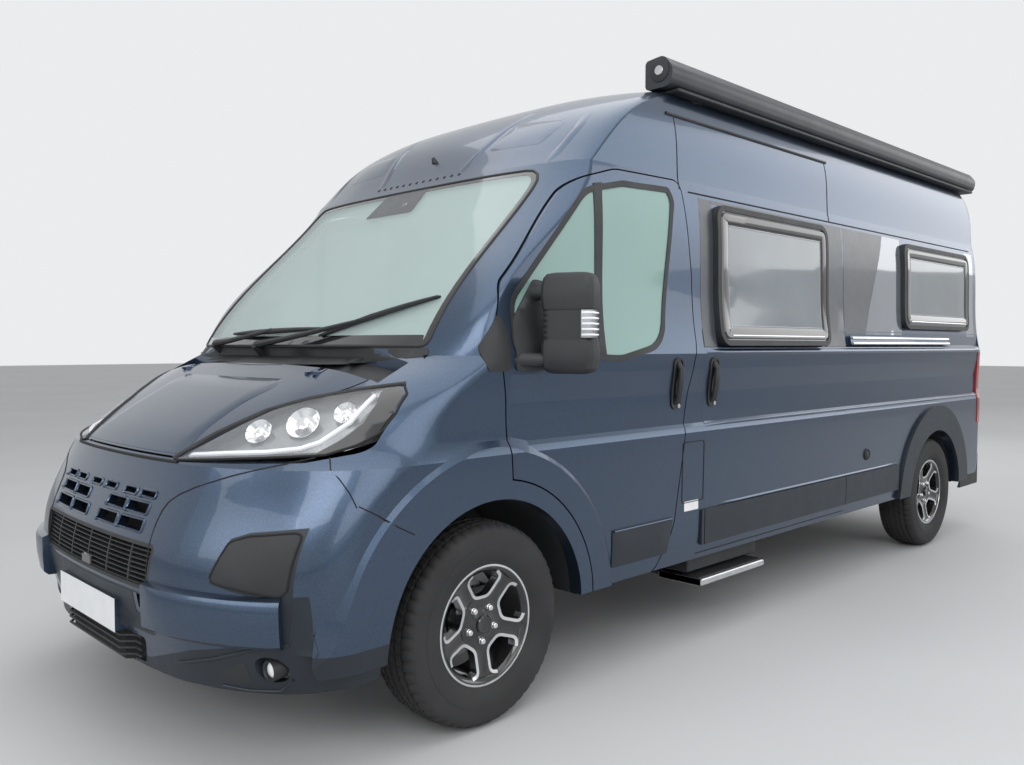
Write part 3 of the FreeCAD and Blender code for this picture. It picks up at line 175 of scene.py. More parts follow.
PAINT = body_paint()
BLACK = grained("black_plastic", "black_plastic", (0.016, 0.017, 0.019), (0.026, 0.027, 0.03))
GLOSS = smooth("gloss_black", "black_plastic", (0.012, 0.012, 0.014), (0.018, 0.018, 0.02), 0.1, coat=0.6)
SCREEN = glass("window_glass", "window_glass", (0.5, 0.62, 0.6), 0.04, 0.0, 0.5)
DOOR_PANE = glass("door_glass", "window_glass", (0.25, 0.4, 0.37), 0.03, 0.0, 0.74)
ACRYLIC = smooth("privacy_acrylic", "privacy_acrylic", (0.02, 0.022, 0.025), (0.03, 0.032, 0.036), 0.06, coat=0.8)
LENS = glass("lamp_lens", "lamp_lens", (0.9, 0.92, 0.94), 0.02, 0.0, 0.16)
RED = smooth("red_lens", "red_lens", (0.3, 0.006, 0.008), (0.42, 0.012, 0.014), 0.1, coat=0.8)
RUBBER = grained("tyre_rubber", "tyre_rubber", (0.018, 0.018, 0.019), (0.03, 0.03, 0.031), 0.75, 300, 0.0003)
ALLOY = smooth("alloy_black", "alloy", (0.012, 0.012, 0.013), (0.02, 0.02, 0.021), 0.16, 0.2, 0.7)
CUT = smooth("alloy_cut", "alloy", (0.62, 0.63, 0.64), (0.74, 0.75, 0.76), 0.22, 1.0)
UNDER = grained("underbody", "underbody_steel", (0.014, 0.014, 0.015), (0.03, 0.03, 0.032), 0.6, 160, 0.0008)
CAST = grained("cast_metal", "cast_metal", (0.16, 0.16, 0.165), (0.25, 0.25, 0.255), 0.5, 240, 0.0008)
STEEL = smooth("bright_steel", "bright_steel", (0.5, 0.51, 0.52), (0.6, 0.61, 0.62), 0.28, 1.0)
STEP_METAL = smooth("step_aluminium", "step_aluminium", (0.55, 0.56, 0.57), (0.66, 0.67, 0.68), 0.35, 1.0)
AWNING = grained("awning_case", "awning_case", (0.022, 0.025, 0.03), (0.034, 0.038, 0.044), 0.42, 900, 0.0002)
DASH = grained("dash_plastic", "dash_plastic", (0.03, 0.031, 0.033), (0.05, 0.052, 0.055), 0.6)
SEAT = woven("seat_fabric", "seat_fabric", (0.035, 0.036, 0.04), (0.07, 0.072, 0.078))
BED = woven("bed_fabric", "bed_fabric", (0.4, 0.39, 0.36), (0.55, 0.54, 0.51), 380)
WOOD = veneer()
OPAL = smooth("roof_acrylic", "roof_acrylic", (0.5, 0.53, 0.55), (0.62, 0.65, 0.67), 0.25)
WHITE = smooth("plain_white", "roof_acrylic", (0.72, 0.73, 0.74), (0.8, 0.81, 0.82), 0.3)
CHROME = smooth("bright_trim", "bright_steel", (0.72, 0.73, 0.74), (0.8, 0.81, 0.82), 0.12, 1.0)
# Near-black for shut lines and seals, also used as painted shade behind the grille and intake
SHUT_AND_SHADE = grained("shut_line_and_shade_black", "black_plastic", (0.004, 0.004, 0.005), (0.008, 0.008, 0.009), 0.7)
MOULD = grained("moulding_grey", "black_plastic", (0.011, 0.016, 0.023), (0.017, 0.023, 0.032), 0.45)
FILM = smooth("film_grey", "black_plastic", (0.046, 0.051, 0.06), (0.056, 0.062, 0.072), 0.34, coat=0.12)
# Glossy window film given a lighter colour: painted reflection on the film
FILM_REFLECTION = smooth("film_painted_reflection", "privacy_acrylic", (0.15, 0.168, 0.195), (0.18, 0.2, 0.23), 0.08, 0.3, 0.8, 2)
BLIND = smooth("tinted_pane", "privacy_acrylic", (0.1, 0.12, 0.135), (0.17, 0.2, 0.22), 0.08, 0.0, 0.5, 1.6)
# Light grey for the pane edges: a painted highlight on the raised acrylic edge
EDGE_HIGHLIGHT = smooth("painted_edge_highlight", "black_plastic", (0.26, 0.27, 0.29), (0.32, 0.33, 0.35), 0.3)
BOWL = smooth("lamp_housing", "bright_steel", (0.2, 0.21, 0.22), (0.32, 0.33, 0.34), 0.25, 0.7)
GUIDE = smooth("lamp_white", "lamp_lens", (0.78, 0.8, 0.82), (0.86, 0.88, 0.9), 0.15, coat=0.5)
AMBER = smooth("amber_lens", "red_lens", (0.75, 0.22, 0.02), (0.82, 0.28, 0.03), 0.12, coat=0.6)
BY_SLOT = {
    "body_paint": PAINT, "black_plastic": BLACK, "window_glass": SCREEN, "privacy_acrylic": ACRYLIC,
    "lamp_lens": LENS, "red_lens": RED, "tyre_rubber": RUBBER, "alloy": ALLOY, "underbody_steel": UNDER,
    "cast_metal": CAST, "bright_steel": STEEL, "step_aluminium": STEP_METAL, "awning_case": AWNING,
    "dash_plastic": DASH, "seat_fabric": SEAT, "bed_fabric": BED, "furniture_wood": WOOD, "roof_acrylic": OPAL,
}

for part in frame["record"]["subparts"]:
    node = NODES[part["node"]]
    node.data.materials.clear()
    node.data.materials.append(BY_SLOT[part["material_slot"]].mat)
for names, paint in ((("rear_arches", "bumper_lower", "side_mouldings"), MOULD),
                     (("door_glass_left", "door_glass_right"), DOOR_PANE)):
    for name in names:
        NODES[name].material_slots[0].material = paint.mat


# Meshes in the van's own frame

def add(name, body, paint, vertices, faces, flat=False):
    """A mesh piece that rides on a body."""
    mesh = bpy.data.meshes.new(name)
    mesh.from_pydata([tuple(v) for v in vertices], [], faces)
    mesh.update()
    piece = bpy.data.objects.new(name, mesh)
    bpy.context.scene.collection.objects.link(piece)
    bm = bmesh.new()
    bm.from_mesh(mesh)
    bmesh.ops.recalc_face_normals(bm, faces=bm.faces[:])
    bm.to_mesh(mesh)
    bm.free()
    mesh.materials.append(paint.mat)
    if not flat:
        mesh.shade_smooth()
        mesh.set_sharp_from_angle(angle=math.radians(32))
    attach(piece, body)
    return piece


class Build:
    """Collects vertices and faces of one piece from simple swept forms."""

    def __init__(self):
        self.points = []
        self.faces = []

    def ring_loft(self, rings, closed=False, cap=True):
        """Joins equal rings of points one after the other."""
        start = len(self.points)
        count = len(rings[0])
        for ring in rings:
            self.points.extend(Vector(p) for p in ring)
        spans = len(rings) if closed else len(rings) - 1
        for r in range(spans):
            a = start + r * count
            b = start + ((r + 1) % len(rings)) * count
            for i in range(count):
                j = (i + 1) % count
                self.faces.append((a + i, a + j, b + j, b + i))
        if cap and not closed:
            self.faces.append(tuple(start + i for i in reversed(range(count))))
            last = start + (len(rings) - 1) * count
            self.faces.append(tuple(last + i for i in range(count)))
        return self

    def box(self, low, high, bevel=0.0):
        """A box with its edges taken off by bevel."""
        x0, y0, z0 = (min(a, b) for a, b in zip(low, high))
        x1, y1, z1 = (max(a, b) for a, b in zip(low, high))
        b = min(bevel, (x1 - x0) / 2.2, (y1 - y0) / 2.2, (z1 - z0) / 2.2)
        if b <= 0:
            return self.ring_loft([[(x0, y0, z), (x1, y0, z), (x1, y1, z), (x0, y1, z)] for z in (z0, z1)])
        rings = []
        for z, inset in ((z0, b), (z0 + b, 0), (z1 - b, 0), (z1, b)):
            a, c = x0 + inset, x1 - inset
            d, e = y0 + inset, y1 - inset
            rings.append([(a + b, d, z), (c - b, d, z), (c, d + b, z), (c, e - b, z),
                          (c - b, e, z), (a + b, e, z), (a, e - b, z), (a, d + b, z)])
        return self.ring_loft(rings)

    def tube(self, path, radius, sides=10, closed=False):
        """A round tube along points; radius is one number or one for each point."""
        path = [Vector(p) for p in path]
        radii = radius if isinstance(radius, (list, tuple)) else [radius] * len(path)
        rings = []
        side = None
        for i, p in enumerate(path):
            ahead = path[(i + 1) % len(path)] if (closed or i + 1 < len(path)) else p
            behind = path[i - 1] if (closed or i) else p
            along = (ahead - behind).normalized()
            if side is None:
                side = along.orthogonal().normalized()
            side = (side - along * side.dot(along)).normalized()
            up = along.cross(side)
            rings.append([p + (side * math.cos(a) + up * math.sin(a)) * radii[i]
                          for a in (math.tau * k / sides for k in range(sides))])
        return self.ring_loft(rings, closed)

    def turned(self, profile, centre, side=LEFT, steps=64):
        """A profile of (outwards along X, radius) turned about the axle through centre."""
        centre = Vector(centre)
        start = len(self.points)
        for along, radius in profile:
            for k in range(steps):
                a = math.tau * k / steps
                self.points.append(centre + Vector((side * along, radius * math.cos(a), radius * math.sin(a))))
        for r in range(len(profile) - 1):
            for k in range(steps):
                j = (k + 1) % steps
                a, b = start + r * steps, start + (r + 1) * steps
                quad = (a + k, a + j, b + j, b + k)
                self.faces.append(quad if side == LEFT else quad[::-1])
        return self

    def add(self, name, body, paint, flat=False):
        return add(name, body, paint, self.points, self.faces, flat)


# Pieces laid on the body's skin, found by rays cast onto the CAD panels

def tree_of(names):
    points, faces = [], []
    for name in names:
        mesh = NODES[name].data
        base = len(points)
        points.extend(v.co.copy() for v in mesh.vertices)
        faces.extend(tuple(base + i for i in poly.vertices) for poly in mesh.polygons)
    return BVHTree.FromPolygons(points, faces)


SKIN = tree_of(["roof", "side_wall_left", "side_wall_right", "wing_left", "wing_right", "sliding_door",
                            "cab_frame", "cab_door_left", "cab_door_right", "door_glass_left", "door_glass_right",
                            "front_bumper", "bumper_lower", "nose_panel", "lower_grille", "headlamps", "bonnet",
                            "windscreen", "scuttle", "tail_door_left", "tail_door_right", "tail_glass_left",
                            "tail_glass_right", "tail_lamps", "rear_bumper", "window_panes", "slide_rail"])
PAIRS = ((0.009, 0), (0, 0.009), (0.013, 0.013), (0.02, 0), (0, 0.02))


def hit(origin, direction, spread):
    """How far along a ray the skin lies; a ray that falls into a shut line takes the depth beside it."""
    def reach(du, dv):
        start = Vector(origin) + spread[0] * du + spread[1] * dv
        return SKIN.ray_cast(start, Vector(direction))[3]

    best = reach(0, 0)
    near = 99.0
    for du, dv in PAIRS:
        ends = (reach(du, dv), reach(-du, -dv))
        near = min([near] + [far for far in ends if far is not None])
        if None in ends:
            continue
        mean = sum(ends) / 2
        if best is None or best - mean > 0.012:
            best = mean
    if best is not None and best - near > 0.4:
        best = near
    if best is None:
        best = min((far for du, dv in PAIRS for sign in (3, -3) for far in (reach(du * sign, dv * sign),)
                    if far is not None), default=None)
    return best


def side_point(side, y, z, lift=0.0):
    far = hit((side * 1.6, y, z), (-side, 0, 0), (Vector((0, 1, 0)), Vector((0, 0, 1))))
    return Vector((side * (1.6 - (far if far is not None else 0.6) + lift), y, z))


def front_point(x, z, lift=0.0):
    far = hit((x, -4.0, z), (0, 1, 0), (Vector((1, 0, 0)), Vector((0, 0, 1))))
    return Vector((x, -4.0 + (far if far is not None else 1.1) - lift, z))


def rear_point(x, z, lift=0.0):
    far = hit((x, 4.0, z), (0, -1, 0), (Vector((1, 0, 0)), Vector((0, 0, 1))))
    return Vector((x, 4.0 - (far if far is not None else 1.06) + lift, z))


def top_point(x, y, lift=0.0):
    far = hit((x, y, 3.5), (0, 0, -1), (Vector((1, 0, 0)), Vector((0, 1, 0))))
    return Vector((x, y, 3.5 - (far if far is not None else 1.0) + lift))


def on_side(side, lift=0.0):
    return lambda u, v, extra=0.0: side_point(side, u, v, lift + extra)


def on_front(lift=0.0, side=LEFT):
    return lambda u, v, extra=0.0: front_point(side * u, v, lift + extra)


def on_rear(lift=0.0, side=LEFT):
    return lambda u, v, extra=0.0: rear_point(side * u, v, lift + extra)


def on_top(lift=0.0, side=LEFT):
    return lambda u, v, extra=0.0: top_point(side * u, v, lift + extra)


def rounded(corners, radius=0.03, steps=4):
    """A closed outline (u, v) or (u, v, radius) with rounded corners."""
    out = []
    count = len(corners)
    for i, corner in enumerate(corners):
        here = Vector(corner[:2])
        r = corner[2] if len(corner) > 2 else radius
        before = Vector(corners[i - 1][:2]) - here
        after = Vector(corners[(i + 1) % count][:2]) - here
        if r <= 0:
            out.append(here)
            continue
        half = before.angle(after) / 2
        reach = min(r / math.tan(half), before.length * 0.48, after.length * 0.48)
        a = here + before.normalized() * reach
        b = here + after.normalized() * reach
        for k in range(steps + 1):
            t = k / steps
            out.append(a * (1 - t) ** 2 + here * 2 * t * (1 - t) + b * t * t)
    return out


def evenly(path, step, closed=False):
    """Points along a path no further apart than step, keeping its corners."""
    path = [Vector(p) for p in path]
    out = []
    for i in range(len(path) if closed else len(path) - 1):
        a, b = path[i], path[(i + 1) % len(path)]
        parts = max(1, math.ceil((b - a).length / step))
        out.extend(a.lerp(b, k / parts) for k in range(parts))
    if not closed:
        out.append(path[-1])
    return out


def seal(name, body, paint, path, project, radius=0.005, closed=True, step=0.05, sides=8, sink=0.0):
    """A round bead laid along a path on the skin."""
    points = [project(p.x, p.y, -sink) for p in evenly(path, step, closed)]
    return Build().tube(points, radius, sides, closed).add(name, body, paint)


def patch(name, body, paint, line, project, thick=0.004, cell=0.06, edge=0.0):
    """A thin plate of an outline laid on the skin, thick metres proud, its rim rolled in by edge."""
    line = evenly(line, cell, True)
    bm = bmesh.new()
    bm.faces.new([bm.verts.new((p.x, p.y, 0)) for p in line])
    for axis in (0, 1):
        low = min(p[axis] for p in line)
        high = max(p[axis] for p in line)
        count = int((high - low) / cell)
        for k in range(1, count + 1):
            at = low + (high - low) * k / (count + 1)
            normal = (1, 0, 0) if axis == 0 else (0, 1, 0)
            bmesh.ops.bisect_plane(bm, geom=bm.verts[:] + bm.edges[:] + bm.faces[:],
                                   plane_co=tuple(at * n for n in normal), plane_no=normal)
    bmesh.ops.triangulate(bm, faces=[f for f in bm.faces if len(f.verts) > 4])
    flat = {v: (v.co.x, v.co.y) for v in bm.verts}
    border = {v for e in bm.edges if e.is_boundary for v in e.verts}
    rim = [e for e in bm.edges if e.is_boundary]
    made = bmesh.ops.extrude_edge_only(bm, edges=rim)["geom"]
    low_verts = [g for g in made if isinstance(g, bmesh.types.BMVert)]
    for v in low_verts:
        v.co = project(v.co.x, v.co.y, -0.003)
    for v, (u, w) in flat.items():
        v.co = project(u, w, thick - (edge if v in border else 0.0))
    mesh = bpy.data.meshes.new(name)
    bmesh.ops.recalc_face_normals(bm, faces=bm.faces[:])
    bm.to_mesh(mesh)
    bm.free()
    piece = bpy.data.objects.new(name, mesh)
    bpy.context.scene.collection.objects.link(piece)
    mesh.materials.append(paint.mat)
    mesh.shade_smooth()
    mesh.set_sharp_from_angle(angle=math.radians(40))
    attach(piece, body)
    return piece


# Wheels

DISH = [(0.0, 0.084), (0.028, 0.084), (0.032, 0.076), (0.042, 0.068), (0.088, 0.062), (0.126, 0.068),
        (0.178, 0.080), (0.188, 0.083), (0.2, 0.088), (0.214, 0.092)]
WINDOW = [(0.054, 0.176), (0.073, 0.158), (0.029, 0.098), (-0.029, 0.098), (-0.073, 0.158), (-0.054, 0.176)]
TYRE_SIDE = [(0.0795, 0.1965), (0.0835, 0.2145), (0.093, 0.2145), (0.096, 0.221), (0.0985, 0.226), (0.0995, 0.2265),
             (0.107, 0.242), (0.1108, 0.262), (0.112, 0.278), (0.1116, 0.284), (0.1105, 0.2845), (0.1108, 0.30),
             (0.1085, 0.318), (0.1065, 0.326), (0.1045, 0.332), (0.1, 0.341), (0.09, 0.3485), (0.082, 0.352)]
TREAD = [(0.073, 0.355), (0.069, 0.355), (0.068, 0.349), (0.060, 0.349), (0.059, 0.3572), (0.040, 0.359),
         (0.039, 0.3525), (0.030, 0.3525), (0.029, 0.3595), (0.010, 0.36), (0.009, 0.3535)]


def dish(radius):
    for (r0, x0), (r1, x1) in zip(DISH, DISH[1:]):
        if radius <= r1:
            return x0 + (x1 - x0) * (radius - r0) / (r1 - r0)
    return DISH[-1][1]


def offset_path(path, distance):
    """The same open path moved sideways, with mitred corners."""
    moved = []
    for i, p in enumerate(path):
        p = Vector(p)
        normals = []
        for a, b in ((i - 1, i), (i, i + 1)):
            if 0 <= a and b < len(path):
                along = (Vector(path[b]) - Vector(path[a])).normalized()
                normals.append(Vector((-along.y, along.x)))
        mean = sum(normals, Vector((0, 0))).normalized()
        moved.append(p + mean * distance / max(0.5, mean.dot(normals[0])))
    return moved


def fillet_path(path, radius, steps=4):
    """An open path with each inner corner rounded."""
    out = [Vector(path[0])]
    for before, here, after in zip(path, path[1:], path[2:]):
        before, here, after = Vector(before), Vector(here), Vector(after)
        a = here + (before - here).normalized() * min(radius, (before - here).length * 0.45)
        b = here + (after - here).normalized() * min(radius, (after - here).length * 0.45)
        for k in range(steps + 1):
            t = k / steps
            out.append(a * (1 - t) ** 2 + here * 2 * t * (1 - t) + b * t * t)
    out.append(Vector(path[-1]))
    return out


def wheel(end, side, name):
    centre = Vector((side * TRACK, FRONT_Y if end == "front" else REAR_Y, HUB_Z))
    body = "wheel_%s_%s" % (end, name)
    tag = "%s_%s" % (end, name)

    def at(u, v, out, turn):
        c, s = math.cos(turn), math.sin(turn)
        return centre + Vector((side * out, u * c - v * s, u * s + v * c))

    profile = TYRE_SIDE + TREAD
    profile = profile + [(-x, r) for x, r in reversed(profile)]
    steps = 216
    tyre = Build()
    for along, radius in profile:
        for k in range(steps):
            r = radius
            if 0.338 < radius and abs(along) > 0.055 and k % 4 == 0:
                r -= 0.006
            elif 0.355 < radius and (k + (2 if along > 0 else 0)) % 4 == 0:
                r -= 0.004
            a = math.tau * k / steps + (0.25 * abs(along))
            tyre.points.append(centre + Vector((side * along, r * math.cos(a), r * math.sin(a))))
    for row in range(len(profile) - 1):
        for k in range(steps):
            j = (k + 1) % steps
            quad = (row * steps + k, row * steps + j, (row + 1) * steps + j, (row + 1) * steps + k)
            tyre.faces.append(quad[::-1] if side == LEFT else quad)
    piece = tyre.add("tyre_" + tag + "_tread", body, RUBBER)
    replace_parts(piece, "tyre_" + tag)

    barrel = Build().turned([(0.0905, 0.2), (0.0915, 0.213), (0.084, 0.214), (0.08, 0.1955), (-0.08, 0.1955),
                             (-0.084, 0.214), (-0.0915, 0.213), (-0.0905, 0.2), (-0.07, 0.187), (0.06, 0.187),
                             (0.074, 0.185), (0.083, 0.189), (0.0905, 0.2)], centre, side, 96)
    piece = barrel.add("barrel_" + tag, body, ALLOY)
    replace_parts(piece, "rim_" + tag)
    Build().turned([(0.0895, 0.2045), (0.0922, 0.2055), (0.0922, 0.2125), (0.0895, 0.2135)],
                   centre, side, 96).add("bright_lip_" + tag, body, CUT)

    face = Build()
    ribbons = Build()
    window = fillet_path(WINDOW, 0.016)
    wide = offset_path(window, 0.011)
    narrow = offset_path(window, 0.0)
    for spoke in range(5):
        turn = math.tau * spoke / 5
        rings = []
        for p, q in zip(narrow, wide):
            rings.append([at(p.x, p.y, dish(p.length) - 0.034, turn), at(p.x, p.y, dish(p.length) + 0.0005, turn),
                          at(q.x, q.y, dish(q.length) + 0.0015, turn), at(q.x, q.y, dish(q.length) - 0.008, turn)])
        ribbons.ring_loft(rings)
        half = len(wide) // 2
        right = wide[:half + 1]
        left = [Vector((-p.x, p.y)) for p in right]
        grid = []
        count = 9
        next_turn = math.tau / 5
        for p, q in zip(right, left):
            c, s = math.cos(-next_turn), math.sin(-next_turn)
            far = Vector((q.x * c - q.y * s, q.x * s + q.y * c))
            row = []
            for k in range(count):
                t = k / (count - 1)
                m = p.lerp(far, t)
                rise = -0.004 * (1 - (2 * t - 1) ** 2)
                row.append(at(m.x, m.y, dish(m.length) + rise, turn))
            back = [at(p.lerp(far, k / (count - 1)).x, p.lerp(far, k / (count - 1)).y,
                       dish(p.lerp(far, k / (count - 1)).length) - 0.03, turn) for k in reversed(range(count))]
            grid.append(row + back)
        face.ring_loft(grid)
    face.turned([(-0.02, 0.03), (-0.02, 0.084), (0.045, 0.09), (0.061, 0.092), (0.0615, 0.07), (0.066, 0.045),
                 (0.072, 0.034), (0.072, 0.001)], centre, side, 60)
    face.add("spokes_" + tag, body, ALLOY)
    ribbons.add("bright_edges_" + tag, body, CUT)
    Build().turned([(0.072, 0.033), (0.080, 0.0325), (0.0835, 0.029), (0.0825, 0.024), (0.0815, 0.022),
                    (0.083, 0.001)], centre, side, 48).add("centre_cap_" + tag, body, ALLOY)
    bolts = Build()
    for k in range(5):
        a = math.tau * (k + 0.5) / 5
        mid = centre + Vector((0, 0.062 * math.sin(a), 0.062 * math.cos(a)))
        rings = []
        for out, radius in ((0.058, 0.0125), (0.0665, 0.0125), (0.068, 0.011), (0.0745, 0.0105), (0.077, 0.008)):
            rings.append([mid + Vector((side * out, radius * math.cos(b), radius * math.sin(b)))
                          for b in (math.tau * i / 12 for i in range(12))])
        bolts.ring_loft(rings)
    bolts.add("wheel_bolts_" + tag, body, CHROME)
    disc = Build().turned([(-0.069, 0.06), (-0.069, 0.149), (-0.074, 0.15), (-0.078, 0.15), (-0.078, 0.146),
                           (-0.086, 0.146), (-0.086, 0.15), (-0.095, 0.15), (-0.095, 0.06)], centre, side, 72)
    disc.turned([(-0.069, 0.088), (-0.03, 0.086), (-0.028, 0.03)], centre, side, 48)
    disc.add("brake_disc_" + tag, body, STEEL)


for end in ("front", "rear"):
    for side, name in ((LEFT, "left"), (RIGHT, "right")):
        wheel(end, side, name)


# Shapes used by the details

SIDES = ((LEFT, "left"), (RIGHT, "right"))


def inset(line, distance):
    """A closed outline moved inwards, with mitred corners."""
    count = len(line)
    area = sum(line[i - 1].x * line[i].y - line[i].x * line[i - 1].y for i in range(count))
    turn = 1 if area > 0 else -1
    moved = []
    for i, p in enumerate(line):
        before = (p - line[i - 1]).normalized()
        after = (line[(i + 1) % count] - p).normalized()
        normal = Vector((-before.y - after.y, before.x + after.x)).normalized()
        moved.append(p + normal * turn * distance / max(0.5, normal.dot(Vector((-before.y, before.x)))))
    return moved


def band(name, body, paint, line, width, project, thick=0.003, step=0.04):
    """A flat border inside a closed outline, laid on the skin and thick metres proud."""
    outer = [p for i, p in enumerate(evenly(line, step, True))]
    outer = [p for i, p in enumerate(outer) if (p - outer[i - 1]).length > 1e-5]
    inner = inset(outer, width)
    rings = []
    for p, q in zip(outer, inner):
        rings.append([project(p.x, p.y, -0.002), project(p.x, p.y, thick), project(q.x, q.y, thick),
                      project(q.x, q.y, -0.002)])
    return Build().ring_loft(rings, True).add(name, body, paint)


def bevel(name, body, paint, line, project, steps):
    """A raised border: steps of (distance in from the outline, height above the skin)."""
    outer = evenly(line, 0.05, True)
    outer = [p for i, p in enumerate(outer) if (p - outer[i - 1]).length > 1e-5]
    loops = [inset(outer, distance) for distance, _ in steps]
    rings = [[project(q.x, q.y, lift) for q, (_, lift) in zip(column, steps)] for column in zip(*loops)]
    return Build().ring_loft(rings, True).add(name, body, paint)


def ridge(name, body, path, project, width=0.03, height=0.006):
    """A soft raised crease along an open path, fading out at its ends."""
    line = evenly(path, 0.045)
    last = len(line) - 1
    rings = []
    for i, p in enumerate(line):
        along = (line[min(i + 1, last)] - line[max(i - 1, 0)]).normalized()
        across = Vector((-along.y, along.x)) * width
        fade = height * min(1, (i + 0.2) / 3, (last - i + 0.2) / 3)
        rings.append([project(p.x + across.x * w, p.y + across.y * w, fade * h)
                      for w, h in ((-1, -0.3), (-0.55, 0.45), (-0.15, 0.95), (0.15, 0.95), (0.55, 0.45), (1, -0.3))])
    return Build().ring_loft(rings).add(name, body, PAINT)


def seam(name, body, path, project, closed=False, radius=0.0025):
    """A dark shut line."""
    return seal(name, body, SHUT_AND_SHADE, [Vector(p) for p in path], project, radius, closed, 0.06, 6)


def frame_of(side, centre, turn):
    """Placing for a piece drawn on its own axes, turned about Z and mirrored for the right side."""
    c, s = math.cos(turn), math.sin(turn)
    return lambda x, y, z: Vector((side * (centre[0] + x * c - y * s), centre[1] + x * s + y * c, centre[2] + z))


def lathe(profile, centre, axis, steps=32):
    """A profile of (along, radius) turned about an axis through centre."""
    axis = Vector(axis).normalized()
    across = axis.orthogonal().normalized()
    up = axis.cross(across)
    build = Build()
    build.ring_loft([[Vector(centre) + axis * along + (across * math.cos(a) + up * math.sin(a)) * max(r, 1e-4)
                      for a in (math.tau * k / steps for k in range(steps))] for along, r in profile])
    return build


def joined(builds):
    whole = Build()
    for part in builds:
        start = len(whole.points)
        whole.points.extend(part.points)
        whole.faces.extend(tuple(start + i for i in face) for face in part.faces)
    return whole


# Front: bonnet, nose, bumper, lamps

def headlamp(side, name):
    """Clear cover over a dark housing with two bowls, a light guide and a black outer end."""
    front = on_front(0, side)
    outline = rounded([(0.405, 0.962, 0.01), (0.66, 0.981, 0.04), (0.885, 0.997, 0.03), (0.928, 1.024, 0.03),
                       (0.951, 1.06, 0.04), (0.953, 1.12, 0.04), (0.94, 1.178, 0.02), (0.905, 1.206, 0.012),
                       (0.75, 1.182, 0.1), (0.6, 1.14, 0.15)])
    cover = patch("lamp_cover_" + name, "van", LENS, outline, front, -0.0005, 0.045)
    housing = patch("lamp_housing_" + name, "van", BOWL, inset(outline, 0.006), on_front(-0.07, side), 0.0, 0.05)
    black = rounded([(0.86, 1.0), (0.885, 0.999), (0.926, 1.026), (0.948, 1.06), (0.949, 1.12), (0.936, 1.176),
                     (0.903, 1.202), (0.862, 1.193), (0.893, 1.15), (0.906, 1.09), (0.888, 1.04)], 0.012)
    patch("lamp_end_" + name, "van", GLOSS, black, front, 0.0035, 0.03)
    seal("lamp_rubber_" + name, "van", SHUT_AND_SHADE, outline, front, 0.0045, True, 0.04)
    seal("lamp_top_rubber_" + name, "van", BLACK,
         [(0.402, 0.966), (0.47, 1.045), (0.56, 1.118), (0.66, 1.158), (0.78, 1.188), (0.905, 1.21)],
         front, 0.0075, False, 0.03)
    strip = [(0.44, 0.978), (0.6, 0.992), (0.72, 1.0), (0.80, 1.012), (0.832, 1.03), (0.86, 1.09), (0.85, 1.17)]
    seal("light_guide_" + name, "van", GUIDE, strip, on_front(-0.02, side), 0.0085, False, 0.025)
    bowls = []
    for x, z, radius in ((0.6, 1.053, 0.046), (0.715, 1.083, 0.058), (0.81, 1.115, 0.04)):
        spot = front_point(side * x, z, -0.04)
        aim = Vector((side * 0.4, -0.75, 0.62))
        bowls.append(lathe([(-0.03, radius * 0.25), (-0.016, radius * 0.7), (0.004, radius), (0.006, radius * 0.97),
                            (-0.012, radius * 0.62), (-0.014, radius * 0.4), (0.0, radius * 0.36),
                            (0.004, radius * 0.2), (0.005, 0.0001)], spot, aim))
    joined(bowls).add("lamp_bowls_" + name, "van", CHROME)
    return [cover, housing]


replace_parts(headlamp(LEFT, "left")[1], "headlamps")
headlamp(RIGHT, "right")

# Near-black sheets behind the nose slots and the intake: painted shade inside the openings
Build().box((-0.47, -2.85, 0.3), (0.47, -2.83, 0.87)).add("radiator_painted_shade", "van", SHUT_AND_SHADE)
low_line = [front_point(0.04 * k, 0.42) for k in range(-8, 9)]
Build().ring_loft([[p + Vector((0, d, z - 0.42)) for d, z in ((0.04, 0.29), (0.04, 0.395), (0.05, 0.395), (0.05, 0.29))]
                   for p in low_line]).add("intake_painted_shade", "van", SHUT_AND_SHADE)
for k in range(4):
    Build().tube([p + Vector((0, 0.024, 0.0215 * k - 0.11)) for p in low_line], 0.0045, 8).add(
        "intake_bar_%d" % k, "van", BLACK)
for row, (z0, z1, spans) in enumerate(((0.84, 0.862, ((0.022, 0.112), (0.18, 0.27), (0.3, 0.398))),
                                       (0.79, 0.825, ((0.09, 0.23), (0.243, 0.388))),
                                       (0.737, 0.775, ((0.05, 0.208), (0.224, 0.392))))):
    for k, (x0, x1) in enumerate(spans):
        for side, name in SIDES:
            seal("slot_rim_%d_%d_%s" % (row, k, name), "van", PAINT,
                 rounded([(x0, z0), (x1, z0), (x1, z1), (x0, z1)], 0.01),
                 lambda u, v, extra=0.0, s=side: front_point(s * u, v) + Vector((0, -0.0005, 0)), 0.0045, True, 0.04, 6)
Build().box((-0.26, -2.9985, 0.392), (0.26, -2.9972, 0.503)).add("front_plate_blank", "van", WHITE)
Build().box((-0.042, -2.9965, 0.552), (0.042, -2.982, 0.61), 0.004).add("sensor_cover", "van", GLOSS)
crown = rounded([(-0.43, 0.98), (0.43, 0.98), (0.395, 1.06), (0.39, 1.14), (0.42, 1.19), (0.39, 1.215),
                 (-0.39, 1.215), (-0.42, 1.19), (-0.39, 1.14), (-0.395, 1.06)], 0.03)
patch("bonnet_crown", "bonnet", PAINT, crown, on_front(), 0.012, 0.045, 0.0105)


def ledge(side, name):
    """The bumper's painted corner: a level ledge over an upright face, bent round with the bumper."""
    base = [front_point(side * x, 0.53) for x in (0.465 + 0.029 * k for k in range(17))]
    rings = []
    for i, p in enumerate(base):
        along = (base[min(i + 1, 16)] - base[max(i - 1, 0)]).normalized() * side
        out = Vector((along.y, -along.x, 0))
        rings.append([p + out * d + Vector((0, 0, z - 0.53)) for d, z in (
            (-0.03, 0.604), (0.004, 0.602), (0.03, 0.592), (0.036, 0.58), (0.034, 0.52), (0.024, 0.458),
            (0.008, 0.444), (-0.03, 0.444))])
        for q in rings[-1]:
            q.y = max(q.y, -2.997)
    Build().ring_loft(rings).add("bumper_corner_" + name, "van", PAINT)


